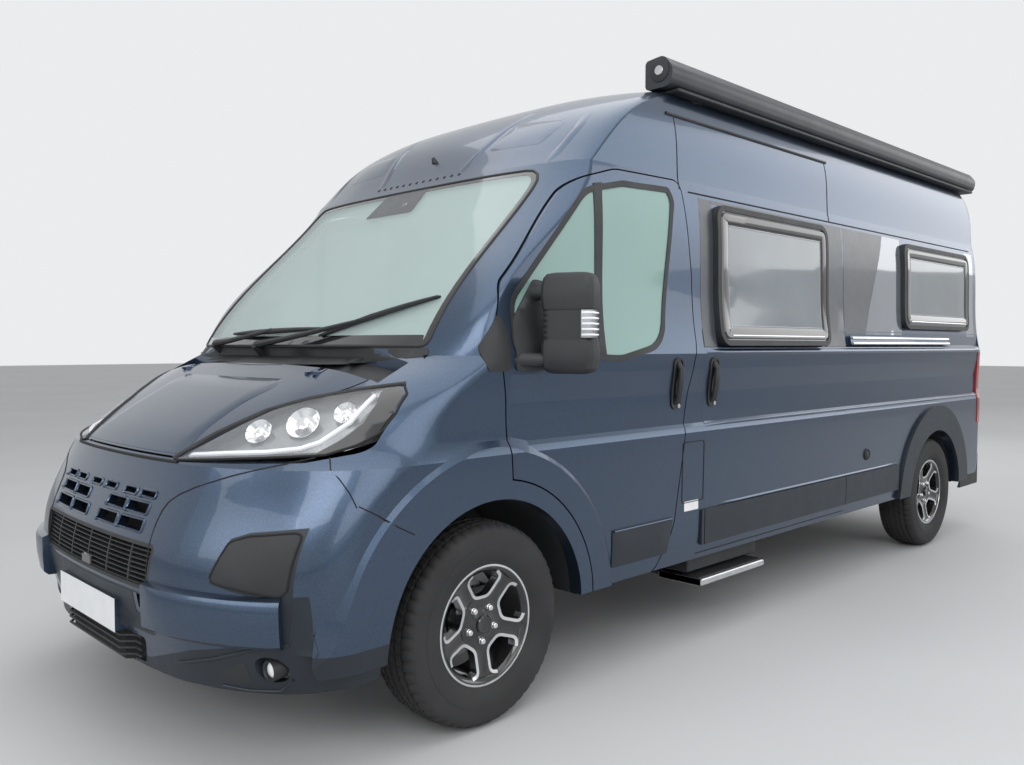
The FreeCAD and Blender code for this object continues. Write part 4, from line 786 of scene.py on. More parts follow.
for side, name in SIDES:
    front = on_front(0, side)
    seam("nose_seam_" + name, "van", [(0.46, 0.6), (0.459, 0.77), (0.465, 0.812), (0.48, 0.84), (0.519, 0.867),
                                      (0.578, 0.893), (0.687, 0.932), (0.765, 0.956), (0.817, 0.972), (0.87, 0.99)],
         front)
    ledge(side, name)
    insert = rounded([(0.733, 0.634), (0.93, 0.6), (0.944, 0.62), (0.952, 0.785), (0.825, 0.77), (0.776, 0.75)],
                     0.02)
    patch("bumper_insert_" + name, "van", BLACK, insert, front, 0.003, 0.03, 0.002)
    seal("insert_rubber_" + name, "van", SHUT_AND_SHADE, insert, front, 0.004, True, 0.04)
    # Black patch beside the fog lamp: painted shade of the recess there
    recess_shade_line = rounded([(0.69, 0.335), (0.8, 0.392), (0.8, 0.322), (0.75, 0.312)], 0.012)
    patch("fog_recess_shade_" + name, "van", BLACK, recess_shade_line, front, 0.001, 0.035)
    fog = Vector((side * 0.866, front_point(side * 0.866, 0.425).y + 0.022, 0.368))
    aim = Vector((side * 0.05, -1, -0.02))
    lathe([(-0.04, 0.031), (0.004, 0.033), (0.011, 0.03), (0.006, 0.025), (-0.012, 0.022)], fog, aim).add(
        "fog_lamp_bezel_" + name, "van", BLACK)
    lathe([(-0.03, 0.024), (-0.002, 0.024), (0.004, 0.017), (0.007, 0.0001)], fog, aim).add(
        "fog_lamp_lens_" + name, "van", GUIDE)
    heel = front_point(side * 0.935, 0.53).y
    patch("bumper_heel_" + name, "van", MOULD,
          rounded([(heel + 0.012, 0.42), (heel + 0.075, 0.42), (heel + 0.052, 0.6), (heel + 0.012, 0.6)], 0.008),
          on_side(side), 0.0012, 0.03)
    seal("lip_ridge_" + name, "van", MOULD, [(0.55, 0.345), (0.7, 0.385), (0.86, 0.44), (0.93, 0.452)], front, 0.006,
         False, 0.03)
    seal("lip_corner_" + name, "van", MOULD, [(0.705, 0.298), (0.79, 0.292), (0.868, 0.296), (0.905, 0.335)], front,
         0.005, False, 0.03)
    seam("fender_seam_" + name, "van", [(0.9, 0.99), (0.934, 0.959), (0.965, 0.93), (0.994, 0.889), (1.012, 0.846)],
         front)
    seam("fender_seam_side_" + name, "van", [(-2.555, 0.85), (-2.487, 0.812), (-2.428, 0.774), (-2.36, 0.739)],
         on_side(side))
    cover = [(0.47, -2.39), (0.53, -2.39), (0.53, -2.346), (0.47, -2.346)]
    patch("hinge_cover_" + name, "bonnet", PAINT, rounded(cover, 0.01), on_top(0, side), 0.002, 0.2)
seal("bonnet_front_rubber", "van", SHUT_AND_SHADE, [(-0.44, 0.958), (-0.25, 0.957), (0, 0.957), (0.25, 0.957), (0.44, 0.958)],
     on_front(), 0.006, False, 0.05)
middle = rounded([(-0.452, 0.412), (0.452, 0.412), (0.452, 0.48), (0.372, 0.48), (0.372, 0.548),
                  (-0.452, 0.548)], 0.01)
patch("bumper_middle", "van", MOULD, middle, on_front(), 0.001, 0.05)
seal("bumper_ledge", "van", MOULD, [(-0.46, 0.552), (0, 0.552), (0.46, 0.552)], on_front(-0.0065), 0.008, False, 0.04)


# Windscreen

SCREEN_LINE = rounded([(-0.835, 1.332, 0.03), (0.835, 1.332, 0.03), (0.8, 2.033, 0.09), (-0.8, 2.033, 0.09)])
band("screen_border", "van", GLOSS, SCREEN_LINE, 0.022, on_front(), 0.001)
seal("screen_rubber", "van", BLACK, SCREEN_LINE, on_front(), 0.006, True, 0.05)
patch("screen_lower_border", "van", GLOSS, rounded([(-0.81, 1.335), (0.81, 1.335), (0.805, 1.372), (-0.805, 1.372)],
                                                   0.01), on_front(), 0.001, 0.06)
cowl = rounded([(-0.85, 1.326), (-0.85, 1.296), (-0.5, 1.266), (0, 1.258), (0.5, 1.266), (0.85, 1.296), (0.85, 1.326)],
               0.02)
patch("cowl", "van", BLACK, cowl, on_front(), 0.002, 0.05)
patch("sensor_patch", "van", FILM, rounded([(-0.17, 1.912), (0.17, 1.912), (0.15, 2.03), (-0.15, 2.03)], 0.012),
      on_front(), 0.0012, 0.05)
lathe([(-0.002, 0.014), (0.004, 0.012), (0.005, 0.0)], front_point(0.07, 1.955), (0, -1, 0.5), 20).add(
    "sensor_eye", "van", BOWL)
for i in range(13):
    x = -0.29 + i * 0.0487
    spot = front_point(x, 2.078)
    lathe([(-0.002, 0.009), (0.0015, 0.008), (0.002, 0.0)], spot, (0, -1, 1), 8).add("brow_dot_%02d" % i, "van", SHUT_AND_SHADE)
lathe([(-0.004, 0.014), (0.004, 0.012), (0.02, 0.008), (0.024, 0.0)], front_point(0.014, 2.185), (0, -0.4, 1), 16).add(
    "aerial_foot", "van", BLACK)
for side, name in SIDES:
    ridge("roof_ridge_" + name, "van", [(0.288, 2.095), (0.318, 2.165), (0.351, 2.239), (0.385, 2.31), (0.42, 2.37),
                                        (0.46, 2.43)], on_front(0, side), 0.03, 0.009)
    ridge("roof_rail_" + name, "van", [(0.79, 2.055), (0.805, 2.14), (0.812, 2.23), (0.80, 2.3)], on_front(0, side),
          0.028, 0.009)
    facet = rounded([(0.37, 2.175), (0.68, 2.165), (0.735, 2.275), (0.43, 2.31)], 0.03)
    patch("roof_facet_" + name, "van", PAINT, facet, on_front(0, side), 0.003, 0.04, 0.0025)


def wiper(name, pivot, knee, ends):
    """Arm from its pivot to the blade's middle, with the blade and its rubber on the glass."""
    foot = front_point(*pivot)
    out = Vector((0, -0.72, 0.69))
    build = lathe([(-0.03, 0.022), (0.03, 0.022), (0.036, 0.016), (0.037, 0.0)], foot, out, 24)
    arm = [foot + out * 0.028, front_point(pivot[0] * 0.6 + knee[0] * 0.4, pivot[1] * 0.6 + knee[1] * 0.4, 0.045),
           front_point(*knee, 0.034)]
    arm = Build().tube(arm, [0.015, 0.011, 0.008], 8)
    a, b = Vector(ends[0]), Vector(ends[1])
    spine = [front_point(*a.lerp(b, k / 8), 0.018 + 0.008 * math.sin(math.pi * k / 8)) for k in range(9)]
    blade = Build().tube(spine, [0.005, 0.008, 0.01, 0.011, 0.012, 0.011, 0.01, 0.008, 0.005], 8)
    rubber = Build().tube([front_point(*a.lerp(b, k / 8), 0.006) for k in range(9)], 0.005, 6)
    return joined([build, arm, blade, rubber]).add(name, "van", BLACK)


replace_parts(wiper("wiper_right", (-0.562, 1.325), (-0.1, 1.398), ((-0.454, 1.385), (0.233, 1.401))), "wipers")
wiper("wiper_left", (-0.166, 1.318), (0.47, 1.425), ((0.27, 1.372), (0.78, 1.51)))


# Cab doors and mirrors

def mirror(side, name, body):
    """Twin-arm mirror: lower and upper shells, ribbed waist, side lamp and glass."""
    place = frame_of(side, (1.136, FRONT_Y + 0.265, 0), math.radians(24))

    def ring(z, a, b, shift=0.0, r=0.03):
        line = rounded([(-a, -b), (a, -b), (a, b), (-a, b)], r, 3)
        return [place(p.x, p.y + shift, z) for p in line]

    upper = [(1.462, 0.098, 0.054), (1.5, 0.1015, 0.058), (1.545, 0.1005, 0.057), (1.572, 0.094, 0.05),
             (1.586, 0.082, 0.04), (1.591, 0.062, 0.026)]
    lower = [(1.235, 0.06, 0.024), (1.24, 0.08, 0.04), (1.254, 0.094, 0.052), (1.29, 0.1015, 0.058),
             (1.33, 0.1005, 0.0575), (1.352, 0.098, 0.054)]
    waist = [(1.348 + 0.0098 * k, 0.094 - 0.0025 * (k % 2), 0.052 - 0.0028 * (k % 2)) for k in range(13)]
    shell = joined([Build().ring_loft([ring(z, a, b, 0, min(a, b) * 0.7) for z, a, b in part])
                    for part in (upper, lower)])
    root = [(1.0, 0.12, 1.05, 0.17, 1.285), (0.955, 0.215, 1.03, 0.235, 1.522)]
    for x0, y0, x1, y1, z in root:
        start = Vector((side * x0, FRONT_Y + y0, z))
        mid = Vector((side * x1, FRONT_Y + y1, z))
        end = place(-0.06, 0, z + (0.0 if z < 1.4 else -0.02))
        arm = Build().tube([start, mid, end], [0.03, 0.024, 0.022], 12)
        shell = joined([shell, arm])
    piece = shell.add("mirror_shell_" + name, body, BLACK)
    Build().ring_loft([ring(z, a, b, 0, 0.03) for z, a, b in waist]).add("mirror_waist_" + name, body, BLACK)
    lens = [place(p.x, p.y - 0.002, z) for z in (1.362, 1.458) for p in
            rounded([(0.055, -0.0565), (0.1, -0.0565), (0.1, 0.0), (0.09, 0.0), (0.088, -0.046), (0.055, -0.046)], 0.003, 2)]
    half = len(lens) // 2
    Build().ring_loft([lens[:half], lens[half:]]).add("mirror_lamp_" + name, body, BOWL)
    ribs = Build()
    for k in range(5):
        z = 1.372 + 0.019 * k
        ribs.tube([place(p.x, p.y, z) for p in (Vector((0.06, -0.0595)), Vector((0.1, -0.0595)),
                                                Vector((0.102, -0.052)), Vector((0.102, -0.005)))], 0.004, 6)
    ribs.add("mirror_lamp_ribs_" + name, body, GUIDE)
    for low, high, tag in ((1.36, 1.565, "main"), (1.262, 1.345, "wide")):
        line = rounded([(-0.082, low), (0.082, low), (0.082, high), (-0.082, high)], 0.02)
        rings = [[place(p.x, 0.0545 + d, p.y) for p in line] for d in (0.0, 0.0035)]
        Build().ring_loft(rings).add("mirror_glass_%s_%s" % (tag, name), body, CHROME)
    return piece


GLASS_LINE = rounded([(FRONT_Y + 0.095, 1.3, 0.06), (FRONT_Y + 0.7, 1.272, 0.3), (FRONT_Y + 1.0, 1.33, 0.17),
                      (FRONT_Y + 1.108, 1.96, 0.1), (FRONT_Y + 1.075, 2.012, 0.03), (FRONT_Y + 0.76, 2.0, 0.2),
                      (FRONT_Y + 0.52, 1.945, 0.2), (FRONT_Y + 0.1, 1.5, 0.12)], 0.05, 6)
for side, name in SIDES:
    door = "cab_door_" + name
    skin = on_side(side)
    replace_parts(mirror(side, name, door), "door_trim_" + name)
    band("door_window_rubber_" + name, door, BLACK, GLASS_LINE, 0.024, skin, 0.004, 0.05)
    patch("window_divider_" + name, door, BLACK, rounded([(-1.436, 1.29), (-1.4, 1.29), (-1.381, 1.975), (-1.432, 1.965)],
                                                        0.004), skin, 0.004, 0.06)
    patch("quarter_frame_" + name, door, BLACK, rounded([(-1.78, 1.285), (-1.43, 1.285), (-1.43, 1.33), (-1.76, 1.35)],
                                                       0.01), skin, 0.004, 0.06)
    sail = rounded([(-1.9, 1.245, 0.02), (-1.7, 1.245, 0.03), (-1.66, 1.33, 0.03), (-1.66, 1.56, 0.03),
                    (-1.78, 1.575, 0.03), (-1.9, 1.42, 0.05)])
    patch("mirror_base_" + name, door, BLACK, sail, skin, 0.014, 0.04, 0.008)
    sail = rounded([(-2.03, 1.245, 0.02), (-1.925, 1.245, 0.01), (-1.925, 1.385, 0.01), (-1.965, 1.452, 0.02),
                    (-2.05, 1.33, 0.03)])
    patch("fender_sail_" + name, "van", BLACK, sail, skin, 0.008, 0.04, 0.005)
    for tag, body, y in (("door", door, FRONT_Y + 1.09), ("slider", "van", FRONT_Y + 1.37)):
        if tag == "slider" and side == RIGHT:
            continue
        cup = rounded([(y - 0.036, 1.06), (y + 0.036, 1.06), (y + 0.036, 1.282), (y - 0.036, 1.282)], 0.034)
        patch("%s_handle_cup_%s" % (tag, name), body, GLOSS, cup, skin, 0.002, 0.04)
        band("%s_handle_ring_%s" % (tag, name), body, BLACK, cup, 0.009, skin, 0.006, 0.03)
        grip = [(y, 1.085), (y, 1.11), (y, 1.17), (y, 1.232), (y, 1.258)]
        out = (0.0, 0.016, 0.02, 0.016, 0.0)
        path = [side_point(side, u, v, lift) for (u, v), lift in zip(grip, out)]
        Build().tube(path, [0.012, 0.013, 0.014, 0.013, 0.012], 12).add("%s_handle_%s" % (tag, name), body, BLACK)
        lathe([(-0.004, 0.01), (0.006, 0.01), (0.0065, 0.0)], side_point(side, y + 0.018, 1.075), (side, 0, 0), 16).add(
            "%s_lock_%s" % (tag, name), body, STEEL)
    low, high = 0.45, 0.602
    strip = rounded([(-1.362, low, 0.02), (-0.99, low, 0.01), (-0.955, high, 0.006), (-1.362, high, 0.01)])
    patch("door_moulding_" + name, door, MOULD, strip, skin, 0.009, 0.05, 0.005)
    seal("door_moulding_line_" + name, door, PAINT, [(-1.355, 0.597), (-0.965, 0.597)], on_side(side, 0.007), 0.004,
         False, 0.06)


# Sides of the body

def outline_box(y0, y1, z0, z1, radius=0.01):
    return rounded([(y0, z0), (y1, z0), (y1, z1), (y0, z1)], radius)


FRONT_LIGHT = (-0.606, 0.474, 1.335, 1.975)
REAR_LIGHT = (1.499, 2.629, 1.44, 1.97)
for side, name in SIDES:
    skin = on_side(side)
    film_top, film_low = 1.992, 1.33
    y0, y1, z0, z1 = FRONT_LIGHT
    pieces = [[(-0.80, film_low), (y0 - 0.001, film_low), (y0 - 0.001, film_top), (-0.80, film_top)],
              [(y0, z1 + 0.001), (y1, z1 + 0.001), (y1, film_top), (y0, film_top)],
              [(y1 + 0.001, film_low), (0.697, film_low), (0.697, film_top), (y1 + 0.001, film_top)]]
    if side == LEFT:
        pieces[0][0] = (-0.708, film_low)
        pieces[0][3] = (-0.708, film_top)
    for i, line in enumerate(pieces):
        patch("film_%d_%s" % (i, name), "van", FILM, [Vector(p) for p in line], skin, 0.0008, 0.08)
    patch("film_3_" + name, "van", FILM, [Vector(p) for p in ((0.712, 1.4), (0.97, 1.4), (1.24, film_top),
                                                             (0.712, film_top))], skin, 0.0008, 0.08)
    # Film from the diagonal to the rear window and behind it: the same glossy film, lighter by a painted reflection
    patch("film_gloss_" + name, "van", FILM_REFLECTION, [Vector(p) for p in ((0.975, 1.4), (1.498, 1.4), (1.498, film_top),
                                                                    (1.245, film_top))], skin, 0.0008, 0.08)
    patch("film_gloss_rear_" + name, "van", FILM_REFLECTION, outline_box(2.63, 2.79, 1.4, film_top, 0.004), skin, 0.0008, 0.08)
    for tag, (y0, y1, z0, z1) in (("front", FRONT_LIGHT), ("rear", REAR_LIGHT)):
        pane = outline_box(y0 + 0.03, y1 - 0.03, z0 + 0.03, z1 - 0.03, 0.045)
        bevel("window_bevel_%s_%s" % (tag, name), "van", GLOSS, pane, skin,
              ((0, -0.004), (0.001, 0.003), (0.008, 0.008), (0.045, 0.009), (0.056, 0.004), (0.058, 0)))
        patch("window_blind_%s_%s" % (tag, name), "van", BLIND, inset(pane, 0.05), skin, 0.0025, 0.1, 0.001)
        # Light line along the pane's inner edge: painted highlight
        lip = inset(pane, 0.062)
        seal("window_edge_%s_%s" % (tag, name), "van", EDGE_HIGHLIGHT, lip, skin, 0.0035, True, 0.06, 6)
        low = z0 + 0.047
        seal("window_foot_%s_%s" % (tag, name), "van", CHROME, [(y0 + 0.09, low), (y1 - 0.09, low)],
             on_side(side, 0.008), 0.003, False, 0.1, 6)
        for k in (0.3, 0.7):
            y = y0 + (y1 - y0) * k
            Build().box(side_point(side, y - 0.03, z0 + 0.004, 0.001), side_point(side, y + 0.03, z0 + 0.02, 0.008),
                        0.003).add("window_catch_%s_%s_%d" % (tag, name, int(k * 10)), "van", BLACK)
    seam("roof_line_" + name, "van", [(-0.775, 2.01), (0.9, 2.011), (2.74, 2.012)], skin, radius=0.004)
    for k, y in enumerate((-0.843, 0.569)):
        seam("roof_seam_%d_%s" % (k, name), "van", [(y, 2.015), (y, 2.2), (y, 2.34)], skin)
    for tag, z, y0, y1, radius in (("belt", 1.307, -0.7, 2.84, 0.011), ("waist", 0.985, -0.7, 2.84, 0.008),
                                   ("sill", 0.611, -0.6, 1.4, 0.006)):
        ridge("%s_crease_%s" % (tag, name), "van", [(y0, z), (y1, z)], skin, radius * 1.6, radius * 0.8)
    seam("sill_seam_" + name, "van", [(-0.76, 0.41), (0.7, 0.41)], skin)
    seal("gutter_" + name, "van", BLACK, [(-0.895, 2.34), (0.59, 2.34)], skin, 0.008, False, 0.1)
    if side == LEFT:
        box = outline_box(-0.885, -0.722, 0.65, 0.915, 0.015)
        seam("filler_flap", "van", box, skin, True)
        patch("blank_label", "van", WHITE, outline_box(-0.867, -0.76, 0.612, 0.655, 0.004), skin, 0.001, 0.06)
        cap = side_point(LEFT, 0.972, 0.705)
        joined([lathe([(-0.004, 0.034), (0.006, 0.034), (0.009, 0.03), (0.008, 0.026), (0.002, 0.024)], cap, (1, 0, 0)),
                lathe([(-0.004, 0.02), (0.007, 0.02), (0.009, 0.017), (0.009, 0.0)], cap, (1, 0, 0))]).add(
            "water_filler", "van", BLACK)
        NODES["slide_rail"].material_slots[0].material = PAINT.mat
        for k, z in enumerate((1.349, 1.378)):
            seal("slide_rail_edge_%d" % k, "van", CHROME, [(0.75, z), (1.5, z), (2.22, z)], on_side(LEFT, 0.002), 0.0085,
                 False, 0.12)
    else:
        vent = outline_box(-0.35, 0.05, 0.75, 0.98, 0.012)
        patch("fridge_vent", "van", BLACK, vent, skin, 0.006, 0.05, 0.003)
        for k in range(6):
            z = 0.785 + 0.032 * k
            seal("fridge_vent_slat_%d" % k, "van", SHUT_AND_SHADE, [(-0.33, z), (0.03, z)], on_side(RIGHT, 0.006), 0.005, False, 0.1)
        flap = outline_box(0.95, 1.2, 0.66, 0.86, 0.02)
        patch("service_flap", "van", MOULD, flap, skin, 0.006, 0.05, 0.004)
    for tag, y in (("front", FRONT_Y), ("rear", REAR_Y)):
        radius = 0.457 if tag == "front" else 0.427
        path = []
        for k in range(19):
            a = math.radians(4 + 172 * k / 18)
            path.append((y + radius * math.cos(a), 0.35 + radius * math.sin(a)))
        out = [Vector((side_point(side, u, v).x, u, v)) for u, v in path]
        inner = [Vector((side * 0.6, u, v)) for u, v in path]
        build = Build()
        for a, b in zip(out, inner):
            build.points.extend([a - Vector((side * 0.03, 0, 0)), b])
        for k in range(len(out) - 1):
            build.faces.append((2 * k, 2 * k + 1, 2 * k + 3, 2 * k + 2))
        build.add("arch_liner_%s_%s" % (tag, name), "van", BLACK)


# Awning, step and roof

lathe([(0.0, 0.05), (-0.004, 0.05), (-0.006, 0.044), (-0.006, 0.0)], (0.862, -0.851, 2.545), (0, 1, 0), 32).add(
    "awning_cap", "van", BLACK)
lathe([(-0.005, 0.022), (-0.009, 0.02), (-0.01, 0.0)], (0.862, -0.851, 2.545), (0, 1, 0), 24).add(
    "awning_winder", "van", STEEL)
Build().box((0.785, -0.8, 2.452), (0.93, 2.92, 2.468), 0.004).add("awning_lead_rail", "van", BLACK)
for k, y in enumerate((-0.591, 1.059, 2.709)):
    Build().box((0.775, y - 0.045, 2.37), (0.8, y + 0.045, 2.52), 0.006).add("awning_bracket_%d" % k, "van", BLACK)

STEP_Y0, STEP_Y1 = -0.729, -0.177
Build().box((0.8, STEP_Y0 + 0.012, 0.287), (1.0, STEP_Y1 - 0.012, 0.289)).add("step_tread", "entrance_step", BLACK)
for k in range(9):
    x = 0.812 + 0.021 * k
    Build().box((x, STEP_Y0 + 0.02, 0.289), (x + 0.01, STEP_Y1 - 0.02, 0.2915)).add(
        "step_rib_%d" % k, "entrance_step", SHUT_AND_SHADE)
nose = [Vector((x, STEP_Y0 + 0.01, z)) for x, z in ((1.0, 0.256), (1.017, 0.259), (1.0195, 0.271), (1.017, 0.285),
                                                    (1.0, 0.2885))]
Build().ring_loft([nose, [p + Vector((0, STEP_Y1 - STEP_Y0 - 0.02, 0)) for p in nose]]).add(
    "step_nosing", "entrance_step", STEP_METAL)
for tag, y in (("a", STEP_Y0), ("b", STEP_Y1 - 0.01)):
    Build().box((0.79, y, 0.2555), (1.0197, y + 0.01, 0.2895), 0.003).add("step_end_" + tag, "entrance_step", BLACK)
Build().box((0.68, STEP_Y0 - 0.02, 0.31), (0.965, STEP_Y1 + 0.02, 0.382), 0.006).add("step_housing", "van", BLACK)
for tag, y0, y1 in (("large", -0.206, 0.294), ("small", 1.479, 1.879)):
    half = 0.35 if tag == "large" else 0.2
    line = rounded([(-half + 0.02, y0 + 0.02), (half - 0.02, y0 + 0.02), (half - 0.02, y1 - 0.02),
                    (-half + 0.02, y1 - 0.02)], 0.04)
    dome = [[Vector((p.x * s, (y0 + y1) / 2 + (p.y - (y0 + y1) / 2) * s, z)) for p in line]
            for s, z in ((1, 2.58), (0.985, 2.59), (0.93, 2.597), (0.7, 2.601), (0.3, 2.603), (0.02, 2.6035))]
    Build().ring_loft(dome).add("roof_light_dome_" + tag, "van", OPAL)
    rim = [[Vector((p.x * s, (y0 + y1) / 2 + (p.y - (y0 + y1) / 2) * s, z)) for p in line]
           for s, z in ((1.06, 2.523), (1.06, 2.535), (1.03, 2.545), (1.0, 2.545), (1.0, 2.523))]
    Build().ring_loft(rim, True).add("roof_light_rim_" + tag, "van", WHITE)


# Tail: lamps, hinges, handles and plate

for side, name in SIDES:
    rear = on_rear(0, side)
    body = "tail_door_" + name
    for k, (z0, z1, paint) in enumerate(((0.8, 0.905, RED), (0.912, 0.965, GUIDE), (0.972, 1.06, AMBER),
                                         (1.067, 1.27, RED))):
        line = rounded([(0.855, z0), (0.99, z0), (0.99, z1), (0.855, z1)], 0.012)
        patch("tail_lamp_%d_%s" % (k, name), "van", paint, line, rear, 0.006, 0.03, 0.003)
    band("tail_lamp_border_" + name, "van", BLACK, rounded([(0.842, 0.785), (0.995, 0.785), (0.995, 1.285),
                                                           (0.842, 1.285)], 0.02), 0.011, rear, 0.004, 0.03)
    band("tail_window_rubber_" + name, body, BLACK, rounded([(0.15, 1.33), (0.68, 1.33), (0.66, 1.94), (0.15, 1.94)],
                                                           0.06), 0.02, rear, 0.004, 0.05)
    for k, z in enumerate((0.74, 1.33, 1.86)):
        lathe([(-0.045, 0.0001), (-0.045, 0.009), (-0.038, 0.011), (-0.002, 0.011), (0, 0.009), (0.002, 0.011),
               (0.038, 0.011), (0.045, 0.009), (0.045, 0.0001)], (side * 0.793, 2.952, z), (0, 0, 1), 24).add(
            "tail_hinge_%d_%s" % (k, name), body, BLACK)
    line = rounded([(0.06, 0.62), (0.585, 0.62), (0.585, 1.2), (0.06, 1.2)], 0.04)
    seal("tail_door_press_" + name, body, PAINT, line, rear, 0.006, True, 0.05, 8, 0.003)
    for k, z in enumerate((0.47, 0.5)):
        seal("bumper_groove_%d_%s" % (k, name), "van", SHUT_AND_SHADE, [(0.1, z), (0.9, z)], on_rear(-0.0042, side), 0.004, False, 0.1)
    patch("rear_reflector_" + name, "van", RED, rounded([(0.74, 0.372), (0.88, 0.372), (0.88, 0.412), (0.74, 0.412)],
                                                       0.008), on_rear(-0.0025, side), 0.003, 0.04)
spot = rear_point(0.075, 1.06)
Build().box(spot + Vector((-0.035, -0.002, -0.11)), spot + Vector((0.035, 0.012, 0.11)), 0.01).add(
    "tail_handle_plate", "tail_door_left", GLOSS)
Build().tube([spot + Vector((0, 0.01, -0.08)), spot + Vector((0, 0.034, -0.05)), spot + Vector((0, 0.034, 0.05)),
              spot + Vector((0, 0.01, 0.08))], 0.011, 12).add("tail_handle", "tail_door_left", BLACK)
spot = rear_point(-0.31, 0.86)
Build().box(spot + Vector((-0.275, -0.002, -0.068)), spot + Vector((0.275, 0.005, 0.068)), 0.004).add(
    "rear_plate_recess", "tail_door_right", BLACK)
Build().box(spot + Vector((-0.26, 0.005, -0.0555)), spot + Vector((0.26, 0.0065, 0.0555))).add(
    "rear_plate_blank", "tail_door_right", WHITE)
Build().box(spot + Vector((-0.2, -0.002, 0.075)), spot + Vector((0.2, 0.02, 0.1)), 0.006).add(
    "plate_lamp_housing", "tail_door_right", BLACK)
patch("high_brake_lamp", "van", RED, rounded([(-0.16, 2.06), (0.16, 2.06), (0.16, 2.095), (-0.16, 2.095)], 0.008),
      on_rear(), 0.006, 0.05, 0.003)


# Cab: dashboard, steering wheel, pedals and seats

WX, WY, WZ = -0.47, -1.611, 1.13
AXIS = Vector((0, 0.8, 0.6))
hub = Vector((WX, WY, WZ))
across = Vector((1, 0, 0))
rise = AXIS.cross(across).normalized()
rim_path = [hub + (across * math.cos(a) + rise * math.sin(a)) * 0.195 for a in (math.tau * k / 64 for k in range(64))]
wheel_parts = Build().tube(rim_path, 0.0145, 14, True)
for angle in (math.radians(8), math.radians(172), math.radians(255), math.radians(285)):
    tip = across * math.cos(angle) + rise * math.sin(angle)
    wheel_parts.tube([hub - AXIS * 0.018 + tip * 0.05, hub - AXIS * 0.014 + tip * 0.12, hub + tip * 0.188],
                     [0.02, 0.014, 0.012], 10)
wheel_parts = joined([wheel_parts, lathe([(-0.03, 0.05), (-0.018, 0.072), (0.0, 0.074), (0.009, 0.055), (0.0098, 0.0)],
                                         hub, AXIS, 40)])
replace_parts(wheel_parts.add("steering_wheel_rim", "steering_wheel", DASH), "steering_wheel")
DASH_Y = FRONT_Y
Build().box((-0.66, DASH_Y + 0.06, 1.215), (-0.28, DASH_Y + 0.2, 1.285), 0.03).add("instrument_hood", "van", DASH)
Build().box((-0.62, DASH_Y + 0.19, 1.16), (-0.32, DASH_Y + 0.235, 1.255), 0.008).add("instruments", "van", GLOSS)
Build().box((-0.14, DASH_Y + 0.18, 1.1), (0.14, DASH_Y + 0.25, 1.26), 0.012).add("centre_screen_case", "van", DASH)
Build().box((-0.12, DASH_Y + 0.25, 1.115), (0.12, DASH_Y + 0.2525, 1.245)).add("centre_screen", "van", GLOSS)
for k, x in enumerate((-0.82, -0.2, 0.2, 0.82)):
    Build().box((x - 0.055, DASH_Y + 0.2, 1.03), (x + 0.055, DASH_Y + 0.245, 1.09), 0.006).add(
        "air_vent_%d" % k, "van", GLOSS)
Build().tube([(-0.12, DASH_Y + 0.19, 0.99), (-0.12, DASH_Y + 0.29, 1.02)], 0.01, 10).tube(
    [(-0.12, DASH_Y + 0.28, 1.015), (-0.12, DASH_Y + 0.32, 1.03)], [0.024, 0.02], 12).add("gear_lever", "van", BLACK)
for k, x in enumerate((-0.6, -0.5, -0.38)):
    Build().box((x - 0.03, DASH_Y - 0.06, 0.74), (x + 0.03, DASH_Y - 0.045, 0.83), 0.004).tube(
        [(x, DASH_Y - 0.052, 0.8), (x, DASH_Y - 0.08, 0.93)], 0.007, 8).add("pedal_%d" % k, "van", STEEL)
Build().box((-0.93, DASH_Y - 0.14, 1.236), (0.93, DASH_Y + 0.1, 1.243), 0.003).add("dash_top_mat", "van", DASH)
Build().box((-0.11, DASH_Y + 0.436, 1.86), (0.11, DASH_Y + 0.461, 1.93), 0.012).tube(
    [(0, DASH_Y + 0.436, 1.9), (0, DASH_Y + 0.415, 1.95)], 0.008, 8).add("inner_mirror", "van", BLACK)


def pad(name, low, high, crown, paint, tilt=0.0, pivot=(0, 0, 0), soften=True):
    """A crowned cushion: a block remeshed, blown up a little by cloth pressure, kept near its start."""
    grid = 14
    x0, y0, z0 = low
    x1, y1, z1 = high
    bm = bmesh.new()
    bmesh.ops.create_cube(bm, size=1.0)
    bmesh.ops.subdivide_edges(bm, edges=bm.edges[:], cuts=grid, use_grid_fill=True)
    middle = Vector(((x0 + x1) / 2, (y0 + y1) / 2, (z0 + z1) / 2))
    size = Vector((x1 - x0, y1 - y0, z1 - z0))
    turn = Matrix.Rotation(tilt, 3, "X")
    for v in bm.verts:
        u = v.co * 2
        squeeze = Vector([u[i] * (1 - 0.13 * (u[(i + 1) % 3] ** 4 + u[(i + 2) % 3] ** 4) / 2) for i in range(3)])
        bulge = (1 - u.x ** 2) * (1 - u.y ** 2) if abs(u.z) > 0.99 else 0.0
        squeeze.z += crown * bulge * (1 if u.z > 0 else -0.3) / size.z
        p = middle + Vector([squeeze[i] * size[i] / 2 * 0.985 for i in range(3)])
        v.co = turn @ (p - Vector(pivot)) + Vector(pivot)
    mesh = bpy.data.meshes.new(name)
    bm.to_mesh(mesh)
    bm.free()
    piece = bpy.data.objects.new(name, mesh)
    bpy.context.scene.collection.objects.link(piece)
    mesh.materials.append(paint.mat)
    if soften:
        start = [v.co.copy() for v in mesh.vertices]
        cloth = piece.modifiers.new("Cloth", "CLOTH")
        cloth.settings.use_pressure = True
        cloth.settings.uniform_pressure_force = 4
        cloth.settings.effector_weights.gravity = 0
        cloth.point_cache.frame_end = 20
        for step in range(1, 21):
            bpy.context.scene.frame_set(step)
        shape = piece.evaluated_get(bpy.context.evaluated_depsgraph_get()).to_mesh()
        moved = [v.co.copy() for v in shape.vertices]
        piece.evaluated_get(bpy.context.evaluated_depsgraph_get()).to_mesh_clear()
        piece.modifiers.clear()
        bpy.context.scene.frame_set(1)
        for v, a, b in zip(mesh.vertices, start, moved):
            step = b - a
            v.co = a + step * min(1.0, 0.008 / max(step.length, 1e-6))
    mesh.shade_smooth()
    return piece


